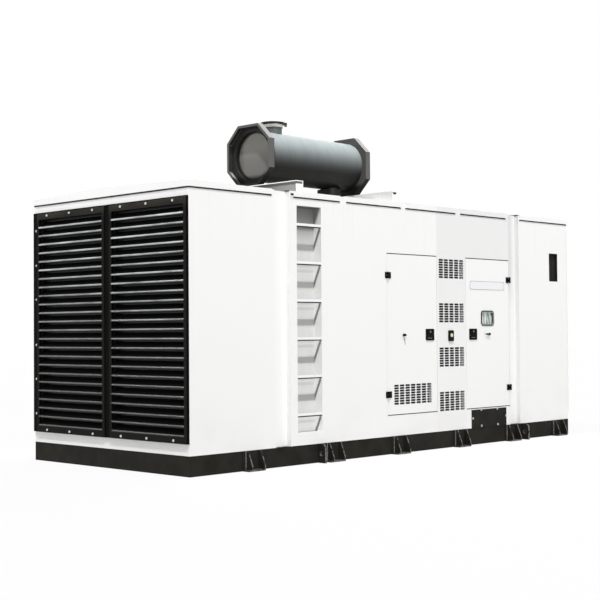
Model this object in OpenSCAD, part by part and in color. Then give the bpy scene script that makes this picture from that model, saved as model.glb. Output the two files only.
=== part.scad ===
// Diesel generator set in a sound-proofed canopy on a steel skid, with a
// roof-mounted exhaust silencer. Millimetres. +X runs from the radiator
// (front) end to the rear end, the access side is -Y, and Z is up. The origin
// is on the floor, under the middle of the canopy.

/* [Canopy lengths, front to rear] */
// Plain panel beside the radiator end
front_panel_l = 1027; // [600:1:1400]
// Recessed joint channel, outside width, both alike
channel_w = 202; // [120:1:260]
// Panel that holds the climbing recess
ladder_panel_l = 510; // [450:1:700]
// Plain panel between the ladder and the first door
plain_panel_l = 864; // [500:1:1200]
// Width of each doorway
doorway_w = 806; // [640:1:1000]
// Post between the two doorways
post_w = 501; // [460:1:640]
// Panel behind the second channel
rear_panel_l = 982; // [760:1:1300]

/* [Canopy section] */
// Width over the side walls
canopy_w = 2300; // [1900:1:2760]
// Height of the wall top above the floor
wall_top = 2485; // [2385:1:2985]
// Thickness of the insulated wall panels
wall_t = 50; // [40:1:70]
// Depth of the joint channels
channel_d = 60; // [55:1:150]
// Sheet thickness of folded channels and trays
sheet_t = 6; // [3:0.5:8]

/* [Skid base] */
// Height of the skid frame
skid_h = 178; // [140:1:240]
// Flange width of the skid sections
skid_flange = 90; // [60:1:120]
// Web and flange thickness of the skid sections
skid_t = 12; // [8:1:16]
// Thickness of the floor plate inside the canopy
deck_t = 8; // [5:1:12]
// Projection of a foot bracket at the floor
foot_reach = 93; // [60:1:120]
// Projection of a foot bracket at its top
foot_top_reach = 38; // [20:1:60]
// Distance between the two gussets of a foot
foot_w = 155; // [100:1:220]
// Thickness of gussets and foot plates
foot_t = 12; // [8:1:16]
// Projection of a lifting lug
lug_reach = 96; // [84:1:150]
// Thickness of a lifting lug
lug_t = 25; // [15:1:40]
// Diameter of the shackle hole
lug_hole_d = 50; // [30:1:60]

/* [Doors] */
// Height of each doorway
doorway_h = 1632; // [1400:1:1800]
// Height of the doorway sill above the floor
doorway_z = 384; // [300:1:480]
// Gap between a leaf and its doorway, all round
leaf_gap = 6; // [5:0.5:10]
// Thickness of a door leaf
leaf_t = 40; // [30:1:45]
// Distance of the hinge pin from the wall face
hinge_out = 14; // [12:0.5:18]
// Diameter of the hinge pin
pin_d = 10; // [8:0.5:12]
// Running clearance round the hinge pin
pin_clear = 0.05; // [0.02:0.01:0.1]
// Height of a hinge
hinge_h = 64; // [50:1:90]
// Height of the middle of the upper hinge
hinge_high_z = 1792; // [1600:1:1880]
// Height of the middle of the lower hinge
hinge_low_z = 595; // [520:1:760]
// Height of the door locks
lock_z = 1191; // [1000:1:1300]

/* [Ventilation] */
// Length of one ventilation slot
slot_l = 70; // [50:1:80]
// Height of one ventilation slot
slot_h = 16; // [10:1:18]
// Distance between slot columns
slot_pitch_x = 88; // [84:0.5:95]
// Distance between slot rows
slot_pitch_z = 25.8; // [24:0.1:30]
// Slot rows in a grille
slot_rows = 8; // [4:1:8]
// Slot columns in a post grille
post_cols = 5; // [3:1:5]
// Slot columns in the door grille
door_cols = 7; // [4:1:7]
// Number of blades in one louvre
blade_count = 24; // [16:1:28]
// Depth of a louvre blade
blade_d = 66; // [50:1:80]
// Thickness of louvre sheet
blade_t = 3; // [2:0.5:4]
// Width of the raised louvre frame above and below its opening
louvre_flange = 60; // [40:1:90]
// Width of the raised louvre frame beside its opening
louvre_side = 30; // [25:1:50]
// How far the louvre frame stands out of the end wall
louvre_out = 30; // [22:1:40]

/* [Ladder recess] */
// Width of the recess
recess_w = 330; // [280:1:380]
// Depth of the recess
recess_d = 100; // [80:1:160]
// Height of a rung
rung_h = 24; // [18:1:35]
// Depth of a rung
rung_d = 18; // [12:1:40]
// Number of rungs
rung_count = 6; // [4:1:7]

/* [Roof] */
// Height of the roof edge
roof_edge_h = 50; // [35:1:80]
// Rise of the roof from its edge to the ridge
roof_rise = 35; // [10:1:80]
// Overhang of the roof edge
roof_over = 12; // [0:1:30]

/* [Exhaust] */
// Height of the silencer axis above the wall top
silencer_axis_h = 552; // [520:1:640]
// Diameter of the silencer shell
silencer_d = 524; // [430:1:540]
// Distance between the outer rims of the silencer
silencer_l = 1536; // [1200:1:2200]
// Distance from the front wall to the silencer
silencer_x = 1790; // [1700:1:1900]
// Size of the eight-sided ends across their flats
end_size = 630; // [600:1:680]
// Corner cut of the eight-sided ends
end_cut = 167; // [140:1:185]
// Depth of the eight-sided ends
end_depth = 70; // [50:1:100]
// Width of the lip folded inwards round the eight-sided ends
end_lip = 26; // [15:1:40]
// Outside diameter of the exhaust pipes
pipe_d = 190; // [150:1:210]
// Wall thickness of the exhaust pipes
pipe_wall = 8; // [4:0.5:12]
// Diameter of the outlet flange
flange_d = 256; // [240:1:290]
// Thickness of the outlet flange
flange_t = 18; // [14:1:30]

/* [Hidden] */
$fn = 48;
eps = 1;

// Lengths along the canopy
canopy_l = front_panel_l + 2 * channel_w + ladder_panel_l + plain_panel_l
         + 2 * doorway_w + post_w + rear_panel_l;
x_front = -canopy_l / 2;
x_channel_1 = x_front + front_panel_l;
x_ladder = x_channel_1 + channel_w;
x_plain = x_ladder + ladder_panel_l;
x_door_1 = x_plain + plain_panel_l;
x_post = x_door_1 + doorway_w;
x_door_2 = x_post + post_w;
x_channel_2 = x_door_2 + doorway_w;
x_rear = x_channel_2 + channel_w;
x_end = x_rear + rear_panel_l;
y_wall = canopy_w / 2;
wall_h = wall_top - skid_h;

// Door leaves
leaf_w = doorway_w - 2 * leaf_gap;
leaf_h = doorway_h - 2 * leaf_gap;
leaf_z = doorway_z + leaf_gap;
doorway_top = doorway_z + doorway_h;
hinge_zs = [hinge_low_z, hinge_high_z];
knuckle_d = 22;
knuckle_gap = 1;
knuckle_h = (hinge_h - 2 * knuckle_gap) / 3;
hinge_plate_t = 7;
fixed_wing_w = 30;
moving_wing_w = 56;
turned_wing_w = 42;
plate_clear = 14;
x_hinge_1 = x_door_1 + leaf_gap / 2;
x_hinge_2 = x_channel_2 - leaf_gap / 2;
stop_t = 20;
stop_lap = 25;
skin_t = 3;

// Grilles
grille_edge = 12;
grille_h = (slot_rows - 1) * slot_pitch_z + slot_h + 2 * grille_edge;
post_grille_w = (post_cols - 1) * slot_pitch_x + slot_l + 2 * grille_edge;
door_grille_w = (door_cols - 1) * slot_pitch_x + slot_l + 2 * grille_edge;
post_grille_z = 488;
post_grille_pitch = 466;
post_grille_count = 4;
door_grille_z = 590;

// Ladder recess
recess_z = 291;
recess_h = 2115;
recess_side = (ladder_panel_l - recess_w) / 2;
rung_z = 449;
rung_pitch = 354;

// Louvres: a flat base frame with a raised frame on it, round the opening.
// The two of one end are alike, with the wide flange of the base towards +Y.
louvre_z = 281;
louvre_h = 2125;
louvre_gap = 2;
louvre_base = 20;
base_wide = 70;
base_narrow = 6;
base_top = 10;
louvre_w = y_wall - 2 * louvre_gap;
louvre_open_w = louvre_w - base_wide - base_narrow - 2 * louvre_side;
louvre_open_h = louvre_h - base_top - 2 * louvre_flange;
louvre_open_y = louvre_gap + base_narrow + louvre_side;
louvre_open_z = louvre_z + louvre_flange;
blade_pitch = louvre_open_h / blade_count;
blade_lip = 18;
screen_t = 12;

// Bolts of a louvre: three along the bottom and top, and a row in the wide flange
bolt_step = 365;
bolt_low = louvre_z + 24;
bolt_high = louvre_z + louvre_h - 34;
bolt_side_y = louvre_gap + louvre_w - base_wide + 18;
bolt_side_zs = [456, 790, 1121, 1563, 1894, 2232];

// Roof and silencer
roof_z = wall_top;
strip_h = roof_edge_h - 5;
silencer_z = wall_top + silencer_axis_h;
silencer_x0 = x_front + silencer_x;
silencer_x1 = silencer_x0 + silencer_l;
end_t = 6;
shell_rim = 12;
shell_pocket = 35;
bearer_w = 96;
bearer_t = 8;
bearer_slit = 24;
bearer_reach = 690;
rear_bearer_out = 20;
bearer_top = silencer_z - end_size / 2;
outlet_x = silencer_x0 + 360;
inlet_x = silencer_x0 + 1216;
pipe_sink = 50;
flange_top = silencer_z + 371;
seat_gap = 0.3;

paint_white = [0.95, 0.95, 0.95];
paint_black = [0.12, 0.12, 0.12];
steel_grey = [0.42, 0.44, 0.46];

// Block with its lowest corner at x, y, z
module block(x, y, z, sx, sy, sz) {
  translate([x, y, z]) cube([sx, sy, sz]);
}

// Outline in X and Z, made solid from y towards +Y
module upright(y, t) {
  translate([0, y + t, 0]) rotate([90, 0, 0]) linear_extrude(t) children();
}

// Outline in Y and Z, made solid from x towards +X
module across(x, t) {
  translate([x, 0, 0]) rotate([90, 0, 90]) linear_extrude(t) children();
}

// Outline in X and Y, made solid upwards from z
module level(z, t) {
  translate([0, 0, z]) linear_extrude(t) children();
}

// The same piece on both sides of the canopy
module both_sides() {
  children();
  mirror([0, 1, 0]) children();
}

// The same piece at both ends of the canopy
module at_rear_end() {
  mirror([1, 0, 0]) children();
}

// Rectangle with round corners, centred
module round_rect(w, h, r) {
  square([w - 2 * r, h], center = true);
  square([w, h - 2 * r], center = true);
  for (sx = [-1, 1], sz = [-1, 1])
    translate([sx * (w / 2 - r), sz * (h / 2 - r)]) circle(r, $fn = 32);
}

// One ventilation slot, centred
module vent_slot() {
  square([slot_l - slot_h, slot_h], center = true);
  for (s = [-1, 1]) translate([s * (slot_l - slot_h) / 2, 0]) circle(slot_h / 2, $fn = 24);
}

// Perforated grille plate, centred on x and z, flush with the access side
module grille(x, z, cols) {
  w = (cols - 1) * slot_pitch_x + slot_l + 2 * grille_edge;
  upright(-y_wall, skin_t) translate([x, z]) difference() {
    square([w, grille_h], center = true);
    for (i = [0:cols - 1], j = [0:slot_rows - 1])
      translate([(i - (cols - 1) / 2) * slot_pitch_x, (j - (slot_rows - 1) / 2) * slot_pitch_z])
        vent_slot();
  }
}

// --- Skid ---------------------------------------------------------------

// Channel section with its web on the outside, in Y and Z
module skid_section() {
  difference() {
    square([skid_flange, skid_h]);
    translate([skid_t, skid_t]) square([skid_flange, skid_h - 2 * skid_t]);
  }
}

module skid_rails() {
  color(paint_black) both_sides()
    across(x_front + skid_flange, canopy_l - 2 * skid_flange)
      translate([-y_wall, 0]) skid_section();
}

module skid_end_beam() {
  translate([x_front, y_wall, 0]) rotate([90, 0, 0]) linear_extrude(canopy_w) skid_section();
  both_sides() block(x_front, -y_wall, 0, skid_flange, skid_t, skid_h);
}

module skid_end_beams() {
  color(paint_black) {
    skid_end_beam();
    at_rear_end() skid_end_beam();
  }
}

module skid_crossmembers() {
  count = 6;
  w = 80;
  pitch = (canopy_l - 2 * skid_flange) / (count + 1);
  color(paint_black) for (i = [1:count])
    block(x_front + skid_flange + i * pitch - w / 2, -y_wall + skid_t, skid_t,
          w, canopy_w - 2 * skid_t, skid_h - 2 * skid_t);
}

module floor_deck() {
  inner_l = canopy_l - 2 * wall_t;
  inner_w = canopy_w - 2 * wall_t;
  color(paint_black) level(skid_h, deck_t) difference() {
    translate([-inner_l / 2, -inner_w / 2]) square([inner_l, inner_w]);
    both_sides() for (x = [x_channel_1, x_channel_2])
      translate([x, -y_wall]) square([channel_w, channel_d]);
  }
}

foot_lap = 38;
foot_back_t = 8;

// Middles of the feet and lugs, each set out from the nearest joint
foot_xs = [x_front + 728, x_plain + 47, x_door_1 + 164,
           x_post + 368, x_channel_2 + 1, x_end - 243];
lug_xs = [x_ladder + 364, x_rear + 21];

module gusset() {
  polygon([[0, 0], [-foot_reach, 0], [-foot_reach, 45], [-foot_top_reach, skid_h], [0, skid_h]]);
}

// Two gussets on a floor plate and a back plate, both longer towards the front
module foot(x) {
  front_edge = x - foot_w / 2 - foot_lap;
  for (s = [-1, 1])
    across(x + s * foot_w / 2 - foot_t / 2, foot_t) translate([-y_wall, 0]) gusset();
  block(front_edge, -y_wall - foot_reach, 0, foot_w + foot_lap, foot_reach, foot_t);
  block(front_edge, -y_wall - foot_back_t, 0, foot_w + foot_lap, foot_back_t, skid_h);
}

module mounting_feet() {
  color(paint_black) both_sides() for (x = foot_xs) foot(x);
}

lug_hole_out = 50;
lug_hole_z = 88;

module lifting_lug(x) {
  r = min(46, lug_reach / 2);
  across(x - lug_t / 2, lug_t) translate([-y_wall, 0]) difference() {
    union() {
      translate([-lug_reach, 0]) square([lug_reach, skid_h - r]);
      translate([-lug_reach + r, 0]) square([lug_reach - r, skid_h]);
      translate([-lug_reach + r, skid_h - r]) circle(r);
    }
    translate([-lug_hole_out, lug_hole_z]) circle(lug_hole_d / 2);
  }
}

module lifting_lugs() {
  color(paint_black) both_sides() for (x = lug_xs) lifting_lug(x);
}

// --- End walls and louvres ----------------------------------------------

// Opening of the louvre on the +Y side, in Y and Z
module louvre_opening() {
  translate([louvre_open_y, louvre_open_z]) square([louvre_open_w, louvre_open_h]);
}

module end_wall() {
  inner_w = canopy_w - 2 * wall_t;
  across(x_front, wall_t) difference() {
    translate([-inner_w / 2, skid_h]) square([inner_w, wall_h]);
    louvre_opening();
    translate([-y_wall, 0]) louvre_opening();
  }
}

module front_end_wall() { color(paint_white) end_wall(); }
module rear_end_wall() { color(paint_white) at_rear_end() end_wall(); }

// Blade outline in X and Z: a lip at the front, then a slope up and inwards
module blade_outline() {
  slope = blade_d - blade_t;
  polygon([[0, 0], [blade_t, 0], [blade_t, blade_lip - blade_t], [slope, slope - blade_t],
           [slope, slope + 1], [blade_t, blade_lip + 2], [0, blade_lip]]);
}

// Louvre on the front end, on the +Y side
module louvre() {
  across(x_front - louvre_base, louvre_base) difference() {
    translate([louvre_gap, louvre_z]) square([louvre_w, louvre_h]);
    louvre_opening();
  }
  across(x_front - louvre_out, louvre_out - louvre_base) difference() {
    translate([louvre_gap + base_narrow, louvre_z])
      square([louvre_open_w + 2 * louvre_side, louvre_open_h + 2 * louvre_flange]);
    louvre_opening();
  }
  for (i = [0:blade_count - 1])
    translate([x_front - louvre_out + blade_t, louvre_open_y + louvre_open_w,
               louvre_open_z + i * blade_pitch])
      rotate([90, 0, 0]) linear_extrude(louvre_open_w) blade_outline();
  for (k = [-1:1], z = [bolt_low, bolt_high])
    louvre_bolt(louvre_out, louvre_open_y + louvre_open_w / 2 + k * bolt_step, z);
}

// Hexagon bolt on a washer, on a face that stands out of the end wall by out
module louvre_bolt(out, y, z) {
  translate([x_front - out, y, z]) rotate([0, -90, 0]) {
    cylinder(h = 2, d = 24, $fn = 16);
    cylinder(h = 8, d = 18, $fn = 6);
  }
}

// Louvre at the outer side, with the bolts of its wide flange
module outer_louvre() {
  louvre();
  for (z = bolt_side_zs) louvre_bolt(louvre_base, bolt_side_y, z);
}

module front_louvre_left() { color(paint_black) translate([0, -y_wall, 0]) louvre(); }
module front_louvre_right() { color(paint_black) outer_louvre(); }
module rear_louvre_left() { color(paint_black) at_rear_end() translate([0, -y_wall, 0]) louvre(); }
module rear_louvre_right() { color(paint_black) at_rear_end() outer_louvre(); }

module mesh_screen() {
  block(x_front + wall_t, -y_wall + wall_t, louvre_z, screen_t, canopy_w - 2 * wall_t, louvre_h);
}

module mesh_screens() {
  color(paint_black) {
    mesh_screen();
    at_rear_end() mesh_screen();
  }
}

// --- Side walls -----------------------------------------------------------

// Wall panel on the access side, full height
module wall_panel(x, l) {
  block(x, -y_wall, skid_h, l, wall_t, wall_h);
}

// Rebate in a side wall, where the louvre opening runs past the end wall
module louvre_rebate() {
  across(x_front - eps, wall_t + eps) translate([-y_wall, 0]) louvre_opening();
}

module left_front_panel() {
  color(paint_white) difference() {
    wall_panel(x_front, front_panel_l);
    louvre_rebate();
  }
}

module left_plain_panel() { color(paint_white) wall_panel(x_plain, plain_panel_l); }

// Folded channel that opens outwards
module joint_channel(x) {
  level(skid_h, wall_h) translate([x, -y_wall]) difference() {
    square([channel_w, channel_d]);
    translate([sheet_t, -eps]) square([channel_w - 2 * sheet_t, channel_d - sheet_t + eps]);
  }
}

module joint_channels() {
  joint_channel(x_channel_1);
  joint_channel(x_channel_2);
}

module left_joint_channels() { color(paint_white) joint_channels(); }

module ladder_panel() {
  color(paint_white) upright(-y_wall, wall_t) difference() {
    translate([x_ladder, skid_h]) square([ladder_panel_l, wall_h]);
    translate([x_ladder + recess_side - blade_t, recess_z - blade_t])
      square([recess_w + 2 * blade_t, recess_h + 2 * blade_t]);
  }
}

module ladder_recess() {
  t = blade_t;
  color(paint_white) translate([x_ladder + recess_side, -y_wall, recess_z]) difference() {
    translate([-t, 0, -t]) cube([recess_w + 2 * t, recess_d + t, recess_h + 2 * t]);
    translate([0, -eps, 0]) cube([recess_w, recess_d + eps, recess_h]);
  }
}

module ladder_rungs() {
  color(paint_white) for (i = [0:rung_count - 1])
    block(x_ladder + recess_side, -y_wall, rung_z + i * rung_pitch, recess_w, rung_d, rung_h);
}

module door_post() {
  color(paint_white) upright(-y_wall, wall_t) difference() {
    translate([x_post, skid_h]) square([post_w, wall_h]);
    for (i = [0:post_grille_count - 1])
      translate([x_post + post_w / 2, post_grille_z + i * post_grille_pitch])
        square([post_grille_w, grille_h], center = true);
  }
}

module post_grilles() {
  color(paint_white) for (i = [0:post_grille_count - 1])
    grille(x_post + post_w / 2, post_grille_z + i * post_grille_pitch, post_cols);
}

module door_headers() {
  color(paint_white) for (x = [x_door_1, x_door_2])
    block(x, -y_wall, doorway_top, doorway_w, wall_t, wall_top - doorway_top);
}

module door_sills() {
  color(paint_white) for (x = [x_door_1, x_door_2])
    block(x, -y_wall, skid_h, doorway_w, wall_t, doorway_z - skid_h);
}

// Frame behind a leaf, which it closes against
module door_stop(x, lap_left, lap_right) {
  upright(-y_wall + wall_t, stop_t) difference() {
    translate([x - lap_left, doorway_z - stop_lap])
      square([doorway_w + lap_left + lap_right, doorway_h + 2 * stop_lap]);
    translate([x + stop_lap, doorway_z + stop_lap])
      square([doorway_w - 2 * stop_lap, doorway_h - 2 * stop_lap]);
  }
}

module door_stops() {
  color(paint_black) {
    door_stop(x_door_1, stop_lap, stop_lap);
    door_stop(x_door_2, stop_lap, 0);
  }
}

air_slot_w = 176;
air_slot_h = 327;
air_slot_x = x_end - 280;
air_slot_z = 1962;
air_slot_d = 30;

module left_rear_panel() {
  color(paint_white) difference() {
    upright(-y_wall, wall_t) difference() {
      translate([x_rear, skid_h]) square([rear_panel_l, wall_h]);
      translate([air_slot_x, air_slot_z])
        square([air_slot_w, air_slot_h], center = true);
    }
    at_rear_end() louvre_rebate();
  }
}

module air_slot() {
  rim = 12;
  color(paint_black) upright(-y_wall, air_slot_d) translate([air_slot_x, air_slot_z])
    difference() {
      square([air_slot_w, air_slot_h], center = true);
      square([air_slot_w - 2 * rim, air_slot_h - 2 * rim], center = true);
    }
  color(paint_black) upright(-y_wall + air_slot_d - 4, 4)
    translate([air_slot_x, air_slot_z])
      square([air_slot_w, air_slot_h], center = true);
}

entry_w = 640;
entry_h = 196;
entry_t = 6;

module cable_entry_plate() {
  color(paint_black)
    block(x_door_2 + (doorway_w - entry_w) / 2, -y_wall - entry_t, skid_h, entry_w, entry_t, entry_h);
}

stop_box_w = 80;
stop_box_h = 116;
stop_box_d = 16;
stop_box_x = x_post + post_w / 2 - 22;
stop_box_z = lock_z - 13;
button_z = lock_z - 8;
button_stem_d = 40;
button_stem_h = 3;
button_cap_d = 32;
button_cap_h = 4;

module emergency_stop() {
  y = -y_wall - stop_box_d;
  color(paint_black) {
    upright(y, stop_box_d) translate([stop_box_x, stop_box_z])
      round_rect(stop_box_w, stop_box_h, 14);
    translate([stop_box_x, y, button_z]) rotate([90, 0, 0]) {
      cylinder(h = button_stem_h, d = button_stem_d);
      cylinder(h = button_stem_h + button_cap_h, d = button_cap_d);
    }
  }
}

// --- Hinges and doors -------------------------------------------------------

// Knuckle of a hinge, one third of its height; part counts from the bottom
module knuckle(x, z, part, bore_d) {
  translate([x, -y_wall - hinge_out, z - hinge_h / 2 + part * (knuckle_h + knuckle_gap)])
    difference() {
      cylinder(h = knuckle_h, d = knuckle_d);
      translate([0, 0, -eps]) cylinder(h = knuckle_h + 2 * eps, d = bore_d);
    }
}

// Flat wing of a hinge, from its knuckle in the direction dir, cut round the pin
module wing(x, z, dir, part, w) {
  z0 = z - hinge_h / 2 + part * (knuckle_h + knuckle_gap);
  difference() {
    block(dir > 0 ? x : x - w, -y_wall - hinge_plate_t, z0, w, hinge_plate_t, knuckle_h);
    translate([x, -y_wall - hinge_out, z0 - eps])
      cylinder(h = knuckle_h + 2 * eps, d = knuckle_d - 4);
  }
}

// Plate that joins the wings of one half, clear of the knuckles
module hinge_plate(x, z, dir, w) {
  block(dir > 0 ? x + plate_clear : x - w, -y_wall - hinge_plate_t, z - hinge_h / 2,
        w - plate_clear, hinge_plate_t, hinge_h);
}

// Wing that turns in along the side of the rear channel
module turned_wing(x, z, part) {
  z0 = z - hinge_h / 2 + part * (knuckle_h + knuckle_gap);
  inner = x_channel_2 + sheet_t;
  difference() {
    union() {
      block(x, -y_wall - hinge_plate_t, z0, inner + hinge_plate_t - x, hinge_plate_t, knuckle_h);
      block(inner, -y_wall - hinge_plate_t, z0, hinge_plate_t, turned_wing_w, knuckle_h);
    }
    translate([x, -y_wall - hinge_out, z0 - eps])
      cylinder(h = knuckle_h + 2 * eps, d = knuckle_d - 4);
  }
}

// Fixed half: two outer knuckles, the pin and the wings on the wall side
module hinge_fixed(x, z, turned) {
  for (part = [0, 2]) {
    knuckle(x, z, part, pin_d);
    if (turned) turned_wing(x, z, part);
    else wing(x, z, -1, part, fixed_wing_w);
  }
  if (!turned) hinge_plate(x, z, -1, fixed_wing_w);
  translate([x, -y_wall - hinge_out, z - hinge_h / 2]) cylinder(h = hinge_h, d = pin_d);
}

// Moving half: the middle knuckle and its wing on the leaf
module hinge_moving(x, z, dir) {
  knuckle(x, z, 1, pin_d + 2 * pin_clear);
  wing(x, z, dir, 1, moving_wing_w);
  hinge_plate(x, z, dir, moving_wing_w);
}

module hinge_seats() {
  color(paint_black) for (z = hinge_zs) {
    hinge_fixed(x_hinge_1, z, false);
    hinge_fixed(x_hinge_2, z, true);
  }
}

// Plain leaf, centred in a doorway
module leaf_outline(x) {
  translate([x + leaf_gap, leaf_z]) square([leaf_w, leaf_h]);
}

module engine_door_leaf() {
  color(paint_white) upright(-y_wall, leaf_t) difference() {
    leaf_outline(x_door_1);
    translate([x_door_1 + doorway_w / 2, door_grille_z])
      square([door_grille_w, grille_h], center = true);
  }
}

module engine_door_grille() {
  color(paint_white) grille(x_door_1 + doorway_w / 2, door_grille_z, door_cols);
}

module engine_door_hinges() {
  color(paint_black) for (z = hinge_zs) hinge_moving(x_hinge_1, z, 1);
}

lock_w = 134;
lock_h = 120;
lock_t = 8;
paddle_w = 80;
paddle_h = 84;
paddle_t = 6;
key_d = 22;
latch_base_d = 42;
latch_base_t = 10;
latch_knob_d = 26;
latch_out = 22;
lock_edge = 124;
latch_in = 254;

// Paddle lock with its key cylinder, and a round latch beside it
module door_lock(x, latch_x) {
  upright(-y_wall - lock_t, lock_t) translate([x, lock_z]) round_rect(lock_w, lock_h, 10);
  upright(-y_wall - lock_t - paddle_t, paddle_t) translate([x - 14, lock_z])
    round_rect(paddle_w, paddle_h, 8);
  translate([x + 42, -y_wall - lock_t, lock_z + 20]) rotate([90, 0, 0])
    cylinder(h = paddle_t, d = key_d);
  translate([latch_x, -y_wall, lock_z]) rotate([90, 0, 0]) {
    cylinder(h = latch_base_t, d = latch_base_d);
    cylinder(h = latch_out, d = latch_knob_d);
  }
}

module engine_door_lock() {
  color(paint_black) door_lock(x_post - lock_edge, x_door_1 + latch_in);
}

window_w = 217;
window_h = 147;
window_x = x_door_2 + 390;
window_z = 1365;
window_r = 28;
seal_w = 22;
seal_out = 10;
glass_in = 12;
glass_t = 6;

module window_outline(grow) {
  translate([window_x, window_z])
    round_rect(window_w + 2 * grow, window_h + 2 * grow, window_r + grow);
}

module control_door_leaf() {
  color(paint_white) upright(-y_wall, leaf_t) difference() {
    leaf_outline(x_door_2);
    window_outline(0);
  }
}

module control_door_seal() {
  color(paint_black) {
    upright(-y_wall - glass_t, glass_t) difference() {
      window_outline(seal_out);
      window_outline(seal_out - seal_w);
    }
    upright(-y_wall, leaf_t) difference() {
      window_outline(0);
      window_outline(seal_out - seal_w);
    }
  }
}

module control_door_glass() {
  color([0.75, 0.85, 0.75, 0.5]) upright(-y_wall + glass_in, glass_t)
    window_outline(seal_out - seal_w);
}

module control_door_hinges() {
  color(paint_black) for (z = hinge_zs) hinge_moving(x_hinge_2, z, -1);
}

module control_door_lock() {
  color(paint_black) door_lock(x_door_2 + lock_edge, x_channel_2 - latch_in - 140);
}

plate_w = 636;
plate_h = 92;
plate_t = 2;
plate_z = 1722;

module control_door_plate() {
  color(paint_white) upright(-y_wall - plate_t, plate_t)
    translate([x_door_2 + doorway_w / 2 - 10, plate_z]) round_rect(plate_w, plate_h, 16);
}

cabinet_w = 640;
cabinet_d = 380;
cabinet_h = 1700;
cabinet_back = 90;
panel_w = 300;
panel_h = 220;
panel_t = 12;

// Cabinet behind the control door, with the panel that shows in its window
module control_cabinet() {
  y = -y_wall + wall_t + cabinet_back;
  x = x_door_2 + (doorway_w - cabinet_w) / 2;
  color(steel_grey) {
    block(x, y, skid_h + deck_t, cabinet_w, cabinet_d, cabinet_h);
    upright(y - panel_t, panel_t) translate([window_x, window_z]) round_rect(panel_w, panel_h, 8);
  }
}

// --- Unseen side ------------------------------------------------------------

module right_wall_panels() {
  color(paint_white) mirror([0, 1, 0]) {
    wall_panel(x_front, front_panel_l);
    wall_panel(x_ladder, ladder_panel_l + plain_panel_l);
    wall_panel(x_post, post_w);
    wall_panel(x_rear, rear_panel_l);
    for (x = [x_door_1, x_door_2]) {
      block(x, -y_wall, doorway_top, doorway_w, wall_t, wall_top - doorway_top);
      block(x, -y_wall, skid_h, doorway_w, wall_t, doorway_z - skid_h);
    }
  }
}

module right_joint_channels() { color(paint_white) mirror([0, 1, 0]) joint_channels(); }

module right_fixed_doors() {
  color(paint_white) mirror([0, 1, 0]) for (x = [x_door_1, x_door_2]) {
    upright(-y_wall, leaf_t) leaf_outline(x);
    door_stop(x, stop_lap, x == x_door_1 ? stop_lap : 0);
  }
}

module right_door_hardware() {
  color(paint_black) mirror([0, 1, 0]) {
    door_lock(x_post - lock_edge, x_door_1 + latch_in);
    door_lock(x_door_2 + lock_edge, x_channel_2 - latch_in - 140);
    for (z = hinge_zs) {
      hinge_fixed(x_hinge_1, z, false);
      hinge_moving(x_hinge_1, z, 1);
      hinge_fixed(x_hinge_2, z, true);
      hinge_moving(x_hinge_2, z, -1);
    }
  }
}

// --- Roof -------------------------------------------------------------------

// Roof section in Y and Z, with its edge at half width w and edge height h
module roof_section(w, h) {
  polygon([[-w, 0], [w, 0], [w, h], [0, h + roof_rise], [-w, h]]);
}

// Roof piece between two places along the canopy
module roof_piece(a, b, over, h) {
  across(a, b - a) translate([0, roof_z]) roof_section(y_wall + over, h);
}

// Ends of the roof panels in turn, each set out from the nearest joint
roof_cuts = [x_front - roof_over, x_channel_1 - 34, x_ladder, x_plain + 173, x_plain + 263,
             x_door_1 + 228, x_door_1 + 300, x_post + 330, x_post + 413, x_channel_2 - 52,
             x_rear + 9, x_end + roof_over];

module roof_panels() {
  color(paint_white) for (i = [0:2:len(roof_cuts) - 2])
    roof_piece(roof_cuts[i], roof_cuts[i + 1], roof_over, roof_edge_h);
}

// Strips between the roof panels; the joint channels run on up through them
module roof_joint_strips() {
  color(paint_white) difference() {
    for (i = [1:2:len(roof_cuts) - 3]) roof_piece(roof_cuts[i], roof_cuts[i + 1], 0, strip_h);
    both_sides() for (x = [x_channel_1, x_channel_2])
      block(x + sheet_t, -y_wall - eps, roof_z - eps, channel_w - 2 * sheet_t,
            channel_d - sheet_t + eps, roof_edge_h + roof_rise);
  }
}

// --- Exhaust ----------------------------------------------------------------

// Piece that stands on the pitched roof: its foot follows the slopes
module on_roof(x, l) {
  difference() {
    children();
    across(x - eps, l + 2 * eps) translate([0, roof_z])
      roof_section(y_wall + roof_over, roof_edge_h);
  }
}

plinth_x = 1930;
plinth_l = 195;
plinth_reach = 650;
plinth_top = 160;
curb_w = 300;
curb_top = 115;

// Flat pad beside the front bearer, and the curb round the exhaust pipe
module roof_plinth() {
  color(paint_white) {
    on_roof(x_front + plinth_x, plinth_l)
      block(x_front + plinth_x, -plinth_reach, roof_z, plinth_l, 2 * plinth_reach, plinth_top);
    on_roof(inlet_x - curb_w / 2, curb_w)
      block(inlet_x - curb_w / 2, -curb_w / 2, roof_z, curb_w, curb_w, curb_top);
  }
}

// Space inside a bearer: open to one side, and over its end plates
module bearer_space(x) {
  w = bearer_w - bearer_t;
  h = bearer_top - bearer_t - roof_z;
  difference() {
    union() {
      block(x - eps, -bearer_reach + bearer_t, roof_z, w + eps, 2 * (bearer_reach - bearer_t), h);
      block(x - eps, -bearer_reach - eps, roof_z + h - bearer_slit,
            w + eps, 2 * (bearer_reach + eps), bearer_slit);
    }
    across(x - 2 * eps, w + 3 * eps) translate([0, roof_z])
      roof_section(y_wall + roof_over, roof_edge_h + bearer_t);
  }
}

// Folded channel across the roof, under the silencer
module silencer_bearer(x) {
  on_roof(x, bearer_w) difference() {
    block(x, -bearer_reach, roof_z, bearer_w, 2 * bearer_reach, bearer_top - roof_z);
    bearer_space(x);
  }
}

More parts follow.
